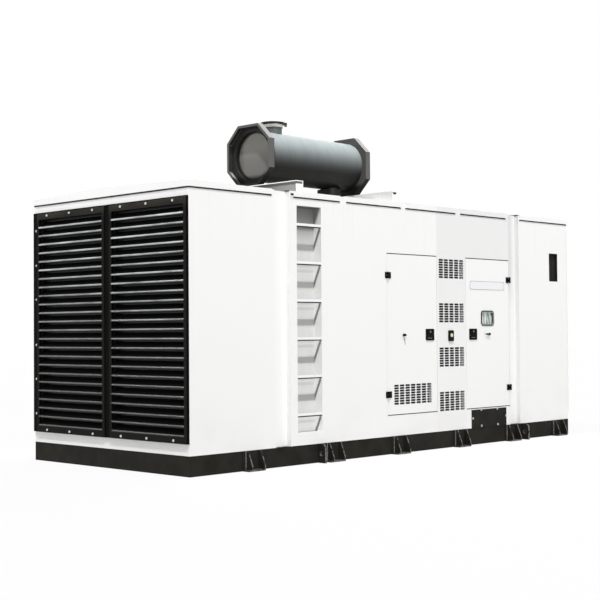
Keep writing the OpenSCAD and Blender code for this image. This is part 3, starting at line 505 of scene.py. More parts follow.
# The shell's hollow end is painted dark: painted shade.
pocket = where_all(tree, on_shell, put(tree, MATH, radius, SHELL_RADIUS - SHELL_RIM + 0.002,
                                       operation="LESS_THAN"))
silencer_tone = put(tree, MIX, pocket, silencer_tone, "33322F", **TONES)
faces_front = put(tree, MATH, lengthwise, -0.7, operation="LESS_THAN")
# The disc is painted lighter towards the top and fades out towards the rim: painted light and
# shade.
past_disc = put(tree, RANGE, radius, 0.222, 0.249, **SOFT)
disc = where_all(tree, faces_front, put(tree, MATH, 1.0, past_disc, operation="SUBTRACT"))
disc_tone = put(tree, MIX, put(tree, RANGE, above_axis, -0.08, 0.12, **SOFT), "7E7D79",
                "92918C", **TONES)
silencer_tone = put(tree, MIX, disc, silencer_tone, disc_tone, **TONES)
print("shell's axis at", round(AXIS_Z, 3), "m, its radius", round(SHELL_RADIUS, 3), "m")

# %% Insides of the trays
TRAY_REACH, TRAY_SHADE = 0.315, "201F1D"
TRAY_X = (stub_low.x - 0.2312, stub_low.x - 0.1)
aside, above = (put(tree, MATH, side, operation="ABSOLUTE") for side in (y, above_axis))
slanting = put(tree, MATH, put(tree, MATH, aside, above, operation="ADD"), math.sqrt(0.5),
               operation="MULTIPLY")
eight_sided = put(tree, MATH, slanting, put(tree, MATH, aside, above, operation="MAXIMUM"),
                  operation="MAXIMUM")
# Inside the trays the colour is painted nearly black: painted shade.
in_tray = where_all(tree,
                    put(tree, MATH, eight_sided, TRAY_REACH - 0.0015, operation="LESS_THAN"),
                    between(tree, x, *TRAY_X),
                    put(tree, MATH, 1.0, disc, operation="SUBTRACT"), 0.8)
silencer_tone = put(tree, MIX, in_tray, silencer_tone, TRAY_SHADE, **TONES)
# The rear tray's front-facing web is painted darker too: painted shade.
rear_web = where_all(tree, faces_front, past_disc,
                     put(tree, MATH, x, 0.0, operation="GREATER_THAN"), 0.35)
silencer_tone = put(tree, MIX, rear_web, silencer_tone, TRAY_SHADE, **TONES)
print("trays reach", TRAY_REACH, "m from the axis")

# %% [markdown]
# Exhaust gas leaves soot on the outlet's flange. The pipe under the shell and the lowest parts of
# the silencer are painted nearly black, a painted shade.

# %% Soot on the flange and painted shade low down
FLANGE_THICKNESS = 0.0185
on_flange = put(tree, MATH, z, stub_high.z - FLANGE_THICKNESS, operation="GREATER_THAN")
# Soot on the flange, and below it painted shade on the lower parts.
soot_and_shade = put(tree, MATH, on_flange, put(tree, RANGE, z, 2.86, 2.80, **SOFT), operation="MAXIMUM")
cover(tree, skin, put(tree, MIX, where_all(tree, soot_and_shade, 0.92), silencer_tone, "141311", **TONES),
      mottled(tree, place, 5, 3), 0.2)
tree.links.new(put(tree, RANGE, on_shell, 0.0, 1.0, 0.8, 0.42), skin["Roughness"])

# %% [markdown]
# ## Cabinet coat, window glass and name plate
# The control cabinet behind the rear door has the pale grey textured coat of switchgear. The
# window in that door is toughened glass with a faint green cast; its pale tone and the white
# slanting streaks on it are painted reflections. The name plate is left blank: anodised aluminium
# with a brushed face, whose brush marks run along it.

# %% Cabinet coat
cabinet_coat, tree, skin, place = new_finish("textured_cabinet_coat", Roughness=0.55, IOR=1.5)
cover(tree, skin, put(tree, MIX, mottled(tree, place, 300, 3), "C3C6C3", "CFD1CE", **TONES),
      mottled(tree, place, 4, 3), 0.3)

# %% Window glass
STREAK_LEAN = 0.2
window_glass, tree, skin, place = new_finish(
    "toughened_glass", Roughness=0.05, IOR=1.52, Transmission_Weight=0.3)
slanted = put(tree, "ShaderNodeMapping", {"Vector": place, "Rotation": (0, STREAK_LEAN, 0)})
streaks = mottled(tree, slanted, 30, 2, stretch=(1, 1, 6))
# Pale green glass with white slanting streaks: painted reflections.
reflection_streaks = put(tree, RANGE, streaks, 0.44, 0.58, **SOFT)
cover(tree, skin, put(tree, MIX, reflection_streaks, "FFFFFF", "96B5A6", **TONES), streaks, 0.3)

# %% Blank name plate
plate_metal, tree, skin, place = new_finish("brushed_anodised_aluminium", Roughness=0.45,
                                            IOR=1.5)
brushing = mottled(tree, place, 6, 3, stretch=(30, 1, 1))
cover(tree, skin, put(tree, MIX, brushing, "F0F0F2", "F7F7F8", **TONES), brushing, 0.1)

# %% [markdown]
# ## Small metal and plastic finishes
# Five finishes differ only in their two tones, in how large the patches between these are, and in
# the grain that how they were made has left: enamel brushed on the plate's rim, zinc with its
# faint spangle on the bolts, silicone extruded for the door gaps, clamp steel that heat has
# tinted, and the smooth plastic of the window's locking strip. So one loop makes them from a
# table of tones, patches and grain, both as a size in millimetres and a detail. The weld beads
# are rubbed bare in sharper patches than these, so they have a tree of their own.

# %% Table of plain finishes
PLAIN_FINISHES = {
    "blue_grey_rim_enamel": ("8F929C", "A4A7B0", (20, 2), None, dict(Roughness=0.4, IOR=1.5)),
    "zinc_plated_steel": ("B9BDC0", "DADCDD", (8, 3), (8, 3), dict(Metallic=1.0, Roughness=0.35)),
    "pale_silicone_seal": ("CFCFCC", "DEDEDB", (50, 3), (5, 2), dict(Roughness=0.6, IOR=1.43)),
    "heat_tinted_clamp_steel": ("D9D6CA", "F4F1E6", (30, 4), None, dict(Roughness=0.5)),
    "pale_locking_strip": ("9AA69F", "B4BEB8", (20, 2), None, dict(Roughness=0.4, IOR=1.5)),
}
GRAIN_DEPTH_MM = 0.1
plain = []
for name, (dark, light, patches, grain, surface) in PLAIN_FINISHES.items():
    finish, tree, skin, place = new_finish(name, **surface)
    tone = put(tree, MIX, mottled(tree, place, *patches), dark, light, **TONES)
    cover(tree, skin, tone, mottled(tree, place, *grain) if grain else None, GRAIN_DEPTH_MM)
    plain.append(finish)
rim_enamel, zinc, gap_silicone, clamp_steel, strip_grey = plain

# %% Worn weld beads
worn_bead, tree, skin, place = new_finish("worn_weld_bead", Roughness=0.6)
rubbed = put(tree, RANGE, mottled(tree, place, 15, 4), 0.35, 0.6, **SOFT)
cover(tree, skin, put(tree, MIX, rubbed, "5E5D5A", "8C8A86", **TONES))

# %% [markdown]
# ## Display and lamps of the cabinet
# The display is a lit panel with rows of dark marks every 12 mm, too small to read. The lamps
# have moulded green lenses.

# %% Lit display
ROW_HEIGHT = 0.012
screen_glow, tree, skin, place = new_finish(
    "lit_display", Roughness=0.15, IOR=1.5, Emission_Strength=0.35)
z = put(tree, "ShaderNodeSeparateXYZ", place).node.outputs[2]
row = put(tree, MATH, put(tree, MATH, z, ROW_HEIGHT, operation="DIVIDE"), operation="FRACT")
marks = put(tree, RANGE, mottled(tree, place, 14, 1, stretch=(2, 1, 1)), 0.45, 0.5, **SOFT)
lit = put(tree, MIX, where_all(tree, put(tree, RANGE, row, 0.3, 0.4, **SOFT), marks), "A9C9B4",
          "3C5A48", **TONES)
cover(tree, skin, lit)
tree.links.new(lit, skin["Emission Color"])

# %% Lamp lenses
lamp_plastic, tree, skin, place = new_finish("coloured_lamp_lens", Roughness=0.2, IOR=1.49)
flow = put(tree, RANGE, mottled(tree, place, 30, 1), 0.4, 0.6, **SOFT)
cover(tree, skin, put(tree, MIX, flow, "2E7D45", "3D9A58", **TONES))

# %% [markdown]
# ## Open-cell foam
# The walls, roof and doors are lined with open-cell foam, which looks charcoal grey and swallows
# light in its pores. The cells are drawn at 9 mm, several times their real size.

# %% Foam lining
FOAM_CELL_MM = 9
foam, tree, skin, place = new_finish("open_cell_foam", Roughness=0.95, IOR=1.4)
cells = put(tree, "ShaderNodeTexVoronoi", {"Vector": place, "Scale": 1000 / FOAM_CELL_MM})
tone = put(tree, MIX, put(tree, RANGE, cells, 0.1, 0.6, **SOFT), "121213", "343537", **TONES)
cover(tree, skin, put(tree, MIX, mottled(tree, place, 350, 4), tone, "2A2B2C", **TONES), cells,
      3.0)

# %% [markdown]
# ## Give each CAD node its finish
# The record names a material slot for each node, so one table from slot to finish dresses the
# whole frame, and a node that had been forgotten would show up in the count. Three nodes then get
# a coat of their own: the recess, the cable entry plate and the air slot.

# %% Dress the frame
SLOT_FINISH = {
    "canopy_paint": canopy_coat, "skid_paint": skid_enamel, "louvre_paint": louvre_coat,
    "screen_mesh": screen_wire, "rubber_seal": rubber, "black_fittings": nylon,
    "switch_plastic": switch_abs, "silencer_paint": silencer_paint,
    "cabinet_paint": cabinet_coat, "window_glass": window_glass, "name_plate": plate_metal,
}
dressed = 0
for name, node in nodes.items():
    for held in node.material_slots:
        held.material = SLOT_FINISH[held.material.name.split(".")[0]]
        dressed += 1
for name, finish in (("ladder_recess", recess_coat), ("cable_entry_plate", skid_enamel),
                     ("air_slot", skid_enamel)):
    nodes[name].material_slots[0].material = finish
print("dressed", dressed, "of", len(nodes), "nodes")

# %% [markdown]
# ## Helpers for added pieces
# Every added piece ends the same way: a mesh at the origin with its place in its vertices, one
# finish and a body to ride on. Most pieces are rounded boxes or turned bodies, drawn into one
# bmesh, which is then closed and kept in one step.

# %% Piece helpers
def keep(name, mesh, finish, body="canopy"):
    """Make a finished piece from a mesh whose vertices are already in place."""
    piece = bpy.data.objects.new(name, mesh)
    scene.collection.objects.link(piece)
    mesh.materials.clear()
    mesh.materials.append(finish)
    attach(piece, body)
    print(f"{name}: {len(mesh.polygons)} faces on {body}")
    return piece


def keep_shape(name, shape, finish, body="canopy"):
    """Close a bmesh, with doubles merged and normals outwards, and keep it as a piece."""
    bmesh.ops.remove_doubles(shape, verts=shape.verts, dist=1e-6)
    bmesh.ops.recalc_face_normals(shape, faces=shape.faces)
    mesh = bpy.data.meshes.new(name)
    shape.to_mesh(mesh)
    shape.free()
    return keep(name, mesh, finish, body)

# %% Rounded boxes and turned bodies
def bevelled_box(shape, low, high, bevel=0.002, segments=2):
    """Add a box with rounded edges between two corners."""
    low, high = Vector(low), Vector(high)
    made = bmesh.ops.create_cube(shape, size=1.0)["verts"]
    middle, size = (low + high) / 2, high - low
    for vert in made:
        vert.co = middle + Vector(v * s for v, s in zip(vert.co, size))
    edges = {edge for vert in made for edge in vert.link_edges}
    bmesh.ops.bevel(shape, geom=list(edges), offset=bevel, segments=segments,
                    affect="EDGES", profile=0.5)


def turned(shape, centre, aim, profile, sides=24):
    """Add a turned body: profile is (radius, height) pairs along aim from centre."""
    turn = Vector((0, 0, 1)).rotation_difference(Vector(aim)).to_matrix()
    rings = []
    for radius, height in profile:
        rings.append([shape.verts.new(Vector(centre) + turn @ Vector(
            (radius * math.cos(a), radius * math.sin(a), height)))
            for a in (2 * math.pi * i / sides for i in range(sides))])
    for lower, upper in zip(rings, rings[1:]):
        for i in range(sides):
            j = (i + 1) % sides
            shape.faces.new((lower[i], lower[j], upper[j], upper[i]))
    shape.faces.new(reversed(rings[0]))
    shape.faces.new(rings[-1])


def each_side(side, *distances):
    """The same distances on one side of the set (1 or -1), smallest first."""
    return sorted(side * distance for distance in distances)

# %% [markdown]
# ## Node trees that repeat a part
# Bolts, blade hems and slot lips are each drawn once in a Geometry Nodes tree and set on points.
# The trees start and end alike, so that is written once: named inputs for the sizes, and at the
# end real copies in one finish. To run a tree, its inputs are set by their identifiers on a
# modifier, and the result is taken off as a plain mesh.

# %% Start and end of a tree
def start_tree(name, **inputs):
    """A node tree with a Geometry socket each way and named inputs; returns both."""
    tree = bpy.data.node_groups.new(name, "GeometryNodeTree")
    tree.interface.new_socket("Geometry", in_out="INPUT", socket_type="NodeSocketGeometry")
    for title, kind in inputs.items():
        tree.interface.new_socket(title.replace("_", " "), in_out="INPUT",
                                  socket_type="NodeSocket" + kind)
    tree.interface.new_socket("Geometry", in_out="OUTPUT", socket_type="NodeSocketGeometry")
    return tree, put(tree, "NodeGroupInput").node.outputs


def end_tree(tree, given, part, rotation=None):
    """Set the part on the points, make the copies real and give them the finish."""
    sockets = {"Points": given["Geometry"], "Instance": part}
    if rotation is not None:
        sockets["Rotation"] = rotation
    copies = put(tree, "GeometryNodeInstanceOnPoints", sockets)
    real = put(tree, "GeometryNodeRealizeInstances", copies)
    finished = put(tree, "GeometryNodeSetMaterial",
                   {"Geometry": real, "Material": given["Finish"]})
    put(tree, "NodeGroupOutput", finished)
    print(tree.name, "tree:", len(tree.nodes), "nodes")

# %% Run a tree on points
def run_tree(name, tree, places, values, aims=()):
    """Run a tree on points at these places and return the plain mesh that it makes."""
    points = bpy.data.meshes.new(name + "_points")
    points.from_pydata(places, [], [])
    if aims:
        aim = points.attributes.new("aim", "FLOAT_VECTOR", "POINT")
        aim.data.foreach_set("vector", [c for direction in aims for c in direction])
    holder = bpy.data.objects.new(name + "_points", points)
    scene.collection.objects.link(holder)
    modifier = holder.modifiers.new("nodes", "NODES")
    modifier.node_group = tree
    for item in tree.interface.items_tree:
        if item.in_out == "INPUT" and item.name in values:
            modifier[item.identifier] = values[item.name]
    ready = bpy.context.evaluated_depsgraph_get()
    made = bpy.data.meshes.new_from_object(holder.evaluated_get(ready))
    made.name = name
    bpy.data.objects.remove(holder)
    return made

# %% [markdown]
# ## Bolts with Geometry Nodes
# A fixing is a washer with a hexagon head on it. The same one is wanted in many places, facing
# different ways, so each point carries its own aim. No two bolts are tightened to the same angle,
# so each is also turned about its aim by a random share of a sixth of a turn, with a fixed seed.

# %% Fixing tree
HEAD_TAPER, WASHER_SIDES, SPIN_SEED = 0.44, 16, 5
fixing_tree, given = start_tree(
    "fixings", Head_size="Float", Head_height="Float", Washer_size="Float",
    Washer_thickness="Float", Head_sides="Int", Finish="Material")
half = {title: put(fixing_tree, MATH, given[title], 0.5, operation="MULTIPLY")
        for title in ("Head size", "Washer size", "Washer thickness")}
head_top = put(fixing_tree, MATH, given["Head size"], HEAD_TAPER, operation="MULTIPLY")
washer = put(fixing_tree, "GeometryNodeMeshCylinder",
             {"Vertices": WASHER_SIDES, "Radius": half["Washer size"],
              "Depth": given["Washer thickness"]})
head = put(fixing_tree, "GeometryNodeMeshCone",
           {"Vertices": given["Head sides"], "Radius Bottom": half["Head size"],
            "Radius Top": head_top, "Depth": given["Head height"]})

# %% Stack the head on the washer
seated_washer, seated_head = (
    put(fixing_tree, "GeometryNodeTransform",
        {"Geometry": part, "Translation": put(fixing_tree, "ShaderNodeCombineXYZ", {2: height})})
    for part, height in ((washer, half["Washer thickness"]), (head, given["Washer thickness"])))
bolt = put(fixing_tree, "GeometryNodeJoinGeometry", seated_washer)
fixing_tree.links.new(seated_head, bolt.node.inputs[0])

# %% Aim and spin of each bolt
aim = put(fixing_tree, "GeometryNodeInputNamedAttribute", {"Name": "aim"},
          data_type="FLOAT_VECTOR")
aimed = put(fixing_tree, "FunctionNodeAlignRotationToVector", {"Vector": aim}, axis="Z")
spin = put(fixing_tree, "FunctionNodeRandomValue", {2: 0.0, 3: math.pi / 3, "Seed": SPIN_SEED},
           data_type="FLOAT")
about_aim = put(fixing_tree, "FunctionNodeAxisAngleToRotation", {"Axis": (0, 0, 1), "Angle": spin})
spun = put(fixing_tree, "FunctionNodeRotateRotation",
           {"Rotation": aimed, "Rotate By": about_aim}, rotation_space="LOCAL")
end_tree(fixing_tree, given, bolt, spun)


def fixings(name, places, finish, slot_name, head, height, washer_size, thickness=0.0015,
            sides=6, body="canopy"):
    """Bolts at places, which are (point, aim) pairs."""
    made = run_tree(name, fixing_tree, [point for point, _ in places],
                    {"Head size": head, "Head height": height, "Washer size": washer_size,
                     "Washer thickness": thickness, "Head sides": sides, "Finish": finish},
                    [aim for _, aim in places])
    return keep(name, made, finish, body)

# %% [markdown]
# ## Cable entry plate
# The black plate under the rear doorway closes the cable trench. Six bright bolts hold it, and
# were set by hand, so they are not quite in line. The upper two catch its top edge. Each is given
# as a distance from the middle and a share of the height.

# %% Cable plate bolts
BOLT_SPOTS = [(-0.151, 1.035), (0.146, 1.035), (-0.302, 0.54), (0.312, 0.54), (-0.146, 0.035),
              (0.154, 0.035)]
BOLT_EDGE = 0.012
plate_low, plate_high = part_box("cable_entry_plate")
middle_x = (plate_low.x + plate_high.x) / 2
plate_bolts = []
for dx, share in BOLT_SPOTS:
    z_bolt = plate_low.z + BOLT_EDGE + share * (plate_high.z - plate_low.z - 2 * BOLT_EDGE)
    plate_bolts.append(((middle_x + dx, plate_low.y, z_bolt), (0, -1, 0)))
fixings("cable_plate_bolts", plate_bolts, zinc, "black_fittings", 0.019, 0.006, 0.026)

# %% [markdown]
# ## Dark strips under the rungs and in the rear bearer's ends
# Under each rung a strip of black rubber stands for the shadow line there, a painted shade. The
# ends of the rear bearer, open towards the rear, each hold a dark rubber block under the top
# flange, a painted shade in the slot.

# %% Painted shade strips under the rungs and in the bearer ends
RUNGS, UNDER_RUNG_HEIGHT, UNDER_RUNG_DEPTH = 6, 0.011, 0.011
rungs_low, rungs_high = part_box("ladder_rungs")
shape = bmesh.new()
# Black strips under the rungs: painted shade.
for i in range(RUNGS):
    z_rung = rungs_low.z + i * RUNG_PITCH
    bevelled_box(shape, (rungs_low.x + 0.001, rungs_low.y + 0.0005, z_rung - UNDER_RUNG_HEIGHT),
                 (rungs_high.x - 0.001, rungs_low.y + UNDER_RUNG_DEPTH, z_rung + 0.001))
keep_shape("rung_shadow_strips", shape, rubber)
shape = bmesh.new()
# Dark blocks in the rear bearer's ends: painted shade.
for side in (-1, 1):
    near, far = each_side(side, bearer_high.y - 0.0005, bearer_high.y - 0.015)
    bevelled_box(shape, (bearer_high.x - 0.062, near, bearer_high.z - 0.030),
                 (bearer_high.x - 0.026, far, bearer_high.z - BEARER_PLATE + 0.0005), 0.003)
keep_shape("bearer_slot_shades", shape, rubber)

# %% [markdown]
# ## Rolled hems on the blades
# All blades are the same, so one hem, a slightly flattened rod, is repeated by a node tree on
# one point per blade. It bulges 3 mm out of the blade's front edge, up to the face of the frame.

# %% Hem tree
hem_tree, given = start_tree("blade_hems", Length="Float", Height="Float", Bulge="Float",
                             Sides="Int", Finish="Material")
rod = put(hem_tree, "GeometryNodeMeshCylinder",
          {"Vertices": given["Sides"], "Depth": given["Length"],
           "Radius": put(hem_tree, MATH, given["Height"], 0.5, operation="MULTIPLY")})
laid = put(hem_tree, "GeometryNodeTransform", {"Geometry": rod, "Rotation": (math.pi / 2, 0, 0)})
squash = put(hem_tree, MATH, put(hem_tree, MATH, given["Bulge"], 2.0, operation="MULTIPLY"),
             given["Height"], operation="DIVIDE")
flat = put(hem_tree, "GeometryNodeTransform",
           {"Geometry": laid,
            "Scale": put(hem_tree, "ShaderNodeCombineXYZ", squash, 1.0, 1.0)})
end_tree(hem_tree, given, flat)

# %% Roll the hems
BLADES, BOLT_HEIGHT = 24, 0.008
HEM_HEIGHT, HEM_BULGE = 0.017, 0.003
louvre_low, louvre_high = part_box("front_louvre_right")
FACE_X = -louvre_low.x - BOLT_HEIGHT
open_low = Vector((0, louvre_low.y + 0.036, louvre_low.z + 0.060))
open_high = Vector((0, louvre_high.y - 0.100, louvre_high.z - 0.070))
blade_pitch = (open_high.z - open_low.z) / BLADES
middle_y = (open_low.y + open_high.y) / 2
hem_places = [(end * (FACE_X - HEM_BULGE), shift + middle_y,
               open_low.z + HEM_HEIGHT / 2 - 0.001 + i * blade_pitch)
              for end in (-1, 1) for shift in (0, -LOUVRE_STEP) for i in range(BLADES)]
hems = run_tree("blade_hems", hem_tree, hem_places,
                {"Length": open_high.y - open_low.y - 0.001, "Height": HEM_HEIGHT,
                 "Bulge": HEM_BULGE, "Sides": 14, "Finish": hem_coat})
keep("blade_hems", hems, hem_coat)

# %% [markdown]
# ## Shadow strips under the roof
# Under the edge of each roof panel a thin strip of black rubber stands for the shadow line there,
# a painted shade. It stops at the joint strips, as these sit lower and have none.

# %% Shadow strips under the roof
roof_low, roof_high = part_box("roof_panels")
WALL_X, WALL_Y = (-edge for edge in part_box("left_front_panel")[0].xy)
SHADOW_STRIP_HEIGHT, SHADOW_STRIP_IN, SHADOW_STRIP_OUT = 0.013, 0.002, 0.007
ROOF_SPANS = [(-2.962, -1.957), (-1.676, -1.038), (-0.948, -0.119), (-0.047, 0.789),
              (0.872, 1.714), (1.977, 2.962)]
# Black strips under the roof's edges: painted shade.
shape = bmesh.new()
for side in (-1, 1):
    inner, outer = each_side(side, WALL_Y - SHADOW_STRIP_IN, WALL_Y + SHADOW_STRIP_OUT)
    for start, stop in ROOF_SPANS:
        bevelled_box(shape, (start + 0.004, inner, roof_low.z - SHADOW_STRIP_HEIGHT),
                     (stop - 0.004, outer, roof_low.z), 0.002, 1)
    inner, outer = each_side(side, WALL_X - SHADOW_STRIP_IN, WALL_X + SHADOW_STRIP_OUT)
    bevelled_box(shape, (inner, -WALL_Y, roof_low.z - SHADOW_STRIP_HEIGHT),
                 (outer, WALL_Y, roof_low.z), 0.002, 1)
keep_shape("roof_shadow_strips", shape, rubber)

# %% [markdown]
# ## Roof joint beads and drain plugs
# Where a joint channel runs up through the roof strip, a short dark bead lies on the strip at its
# rear side, against the next roof panel. The strip rises towards the middle of the roof, so the
# bead is laid in short lengths that follow it. The panel over the climbing recess has a rubber
# plug at its foremost corner, where its edge channel drains.

# %% Roof joint beads
STRIP_EDGE, ROOF_RISE, HALF_WIDTH = 0.045, 0.035, 1.150
BEADS, BEAD_STEPS = ((-1.727, 0.150), (1.961, 0.115)), 5
BEAD_HALF, BEAD_SINK, BEAD_HEIGHT = 0.006, 0.002, 0.009


def strip_top(y):
    """Height of the joint strips at y."""
    return roof_low.z + STRIP_EDGE + ROOF_RISE * (1 - abs(y) / HALF_WIDTH)


shape = bmesh.new()
for x_bead, length in BEADS:
    for side in (-1, 1):
        ends = [HALF_WIDTH - 0.002 - length * step / BEAD_STEPS for step in range(BEAD_STEPS + 1)]
        for start, stop in zip(ends, ends[1:]):
            low_y, high_y = each_side(side, start, stop)
            base = strip_top((low_y + high_y) / 2)
            bevelled_box(shape, (x_bead - BEAD_HALF, low_y, base - BEAD_SINK),
                         (x_bead + BEAD_HALF, high_y, base + BEAD_HEIGHT), 0.001, 1)
keep_shape("roof_joint_beads", shape, rubber)

# %% Drain plugs
PLUG_X, PLUG_Z, PLUG_HALF = (-1.720, -1.680), (0.008, 0.028), 0.002
shape = bmesh.new()
for side in (-1, 1):
    near, far = each_side(side, roof_high.y - PLUG_HALF, roof_high.y + PLUG_HALF)
    bevelled_box(shape, (PLUG_X[0], near, roof_low.z + PLUG_Z[0]),
                 (PLUG_X[1], far, roof_low.z + PLUG_Z[1]), 0.0015)
keep_shape("drain_plugs", shape, rubber)

# %% [markdown]
# ## Door edge seals
# A pale silicone fin runs down both sides of each leaf and nearly fills the gap. Along the top
# and bottom there is a strip of black rubber instead, which stands 1 mm proud and stands for the
# shade in the gap, a painted shade. Neither touches the frame as the door turns.

# %% Door edge seals
FIN_WIDTH, STRIP_OUT, STRIP_IN = 0.0045, 0.0053, 0.0035
for door in ("engine_door", "control_door"):
    leaf_low, leaf_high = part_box(door + "_leaf")
    shape = bmesh.new()
    for x0, x1 in ((leaf_low.x - FIN_WIDTH, leaf_low.x + 0.001),
                   (leaf_high.x - 0.001, leaf_high.x + FIN_WIDTH)):
        bevelled_box(shape, (x0, leaf_low.y + 0.003, leaf_low.z),
                     (x1, leaf_low.y + 0.011, leaf_high.z), 0.001, 1)
    keep_shape(door + "_edge_seal", shape, gap_silicone, door)
    # Black strips in the gaps at top and bottom: painted shade.
    shape = bmesh.new()
    for low_z, high_z in ((leaf_low.z - STRIP_OUT, leaf_low.z + STRIP_IN),
                          (leaf_high.z - STRIP_IN, leaf_high.z + STRIP_OUT)):
        bevelled_box(shape, (leaf_low.x, leaf_low.y - 0.001, low_z),
                     (leaf_high.x, leaf_low.y + 0.010, high_z), 0.001, 1)
    keep_shape(door + "_gap_shade_strips", shape, rubber, door)

# %% [markdown]
# ## Foam pads
# Foam pads cover the walls, the roof and the backs of the doors, so that an open door shows
# charcoal foam and not bare white sheet. On the real set they are glued and held with broad
# washers. Each pad is a rounded slab between the joints, cut round the doorways, the climbing
# recess and the air slot.

# %% Wall and roof pads
PAD, PAD_LOW, PAD_HIGH, WALL_THICKNESS, GLUE = 0.045, 0.220, 2.440, 0.050, 0.0005
INNER_Y, ROOF_PAD_Y = WALL_Y - WALL_THICKNESS, 1.04
WASHER = dict(head=0.009, height=0.004, washer_size=0.040, thickness=0.001, sides=10)
LEFT_PADS = [(-2.85, -1.95), (-1.19, -0.40), (0.50, 0.92), (1.99, 2.56)]
RIGHT_PADS = [(-2.85, -1.95), (-1.69, -1.07), (-1.05, -0.40), (0.50, 0.92), (1.99, 2.86)]
ROOF_PADS = [(-2.85, -1.98), (-1.70, -1.05), (-0.93, -0.13), (-0.03, 0.78), (0.89, 1.70),
             (1.99, 2.85)]


def spread(start, stop, count):
    """Middles of count equal parts of a length."""
    return [start + (i + 0.5) * (stop - start) / count for i in range(count)]


shape = bmesh.new()
washers = []
for pads, side in ((LEFT_PADS, -1), (RIGHT_PADS, 1)):
    near, far = each_side(side, INNER_Y - GLUE, INNER_Y - PAD)
    for x0, x1 in pads:
        bevelled_box(shape, (x0, near, PAD_LOW), (x1, far, PAD_HIGH), 0.008)
        washers += [((x_washer, side * (INNER_Y - PAD), z_washer), (0, -side, 0))
                    for x_washer in spread(x0, x1, 2 if x1 - x0 < 0.6 else 3)
                    for z_washer in spread(PAD_LOW, PAD_HIGH, 4)]
for x0, x1 in ROOF_PADS:
    bevelled_box(shape, (x0, -ROOF_PAD_Y, roof_low.z - PAD),
                 (x1, ROOF_PAD_Y, roof_low.z - GLUE), 0.008)
    washers += [((x_washer, y_washer, roof_low.z - PAD), (0, 0, -1))
                for x_washer in spread(x0, x1, 2) for y_washer in spread(-1.04, 1.04, 4)]
keep_shape("sound_lining", shape, foam)
fixings("lining_washers", washers, zinc, "black_fittings", **WASHER)

# %% [markdown]
# The pads on the doors stay clear of the stops as the doors turn. The engine door has a thicker
# one behind its grille, and the rear door's are cut round the window.

# %% Door pads
STOP_CLEAR = 0.065
DOOR_PADS = {"engine_door": ((0.330, None, 0.025), (0.082, 0.320, 0.042)),
             "control_door": ((0.065, 0.860, 0.025), (1.100, None, 0.025))}
for door, pads in DOOR_PADS.items():
    leaf_low, leaf_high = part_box(door + "_leaf")
    x0, x1 = leaf_low.x + STOP_CLEAR, leaf_high.x - STOP_CLEAR
    shape = bmesh.new()
    washers = []
    for start, stop, thick in pads:
        low_z = leaf_low.z + start
        high_z = leaf_high.z - STOP_CLEAR if stop is None else leaf_low.z + stop
        bevelled_box(shape, (x0, leaf_high.y + GLUE, low_z), (x1, leaf_high.y + thick, high_z),
                     0.006)
        washers += [((x_washer, leaf_high.y + thick, z_washer), (0, 1, 0))
                    for x_washer in spread(x0, x1, 2) for z_washer in spread(low_z, high_z, 2)]
    keep_shape(door + "_lining", shape, foam, door)
    fixings(door + "_lining_washers", washers, zinc, "black_fittings", body=door, **WASHER)

# %% [markdown]
# ## Control cabinet front
# Through the window a small display and a row of keys show. With the door open, the cabinet has
# a pressed door of its own with a swing handle, two hinges and a row of lamps. These follow
# common practice for such a cabinet, and carry no lettering.

# %% Cabinet sheets
cab_low, cab_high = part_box("control_cabinet")
FRONT_Y, SHEET_OUT, SHEET_MARGIN = cab_low.y + 0.012, 0.006, 0.020
SHEETS_Z = ((cab_low.z + 0.060, 1.200), (1.530, cab_high.z - 0.030))
shape = bmesh.new()
for z0, z1 in SHEETS_Z:
    bevelled_box(shape, (cab_low.x + SHEET_MARGIN, FRONT_Y - SHEET_OUT, z0),
                 (cab_high.x - SHEET_MARGIN, FRONT_Y + 0.001, z1), 0.003)
keep_shape("cabinet_front_sheets", shape, cabinet_coat)

# %% Cabinet handle and hinges
HANDLE_Z, HINGES_Z, HINGE_LENGTH = (0.620, 0.780), (0.420, 1.040), 0.060
HINGE_PROFILE = [(0.006, 0.0), (0.007, 0.002), (0.007, 0.058), (0.006, HINGE_LENGTH)]
shape = bmesh.new()
bevelled_box(shape, (cab_low.x + 0.045, FRONT_Y - 0.020, HANDLE_Z[0]),
             (cab_low.x + 0.075, FRONT_Y - 0.005, HANDLE_Z[1]), 0.005, 3)
turned(shape, (cab_low.x + 0.060, FRONT_Y - 0.018, HANDLE_Z[1] - 0.025), (0, -1, 0),
       [(0.009, 0.0), (0.009, 0.005), (0.006, 0.008)], 16)
for z_hinge in HINGES_Z:
    turned(shape, (cab_high.x - 0.026, FRONT_Y - 0.010, z_hinge - HINGE_LENGTH / 2), (0, 0, 1),
           HINGE_PROFILE, 14)
keep_shape("cabinet_handle_and_hinges", shape, nylon)

# %% Display and keys
glass_low, glass_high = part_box("control_door_glass")
PANEL_Y, SCREEN_X = cab_low.y, (glass_low.x + glass_high.x) / 2
BODY_HALF, BODY_Z, DISPLAY_HALF, DISPLAY_Z = 0.078, (1.310, 1.420), 0.052, (1.345, 1.408)
KEYS, KEY_PITCH, KEY_Z = 6, 0.022, 1.326
KEY_PROFILE = [(0.007, 0.0), (0.007, 0.003), (0.005, 0.004)]
shape = bmesh.new()
bevelled_box(shape, (SCREEN_X - BODY_HALF, PANEL_Y - 0.006, BODY_Z[0]),
             (SCREEN_X + BODY_HALF, PANEL_Y + 0.001, BODY_Z[1]), 0.003)
for i in range(KEYS):
    x_key = SCREEN_X + (i - (KEYS - 1) / 2) * KEY_PITCH
    turned(shape, (x_key, PANEL_Y - 0.005, KEY_Z), (0, -1, 0), KEY_PROFILE, 16)
keep_shape("controller_body", shape, nylon)
shape = bmesh.new()
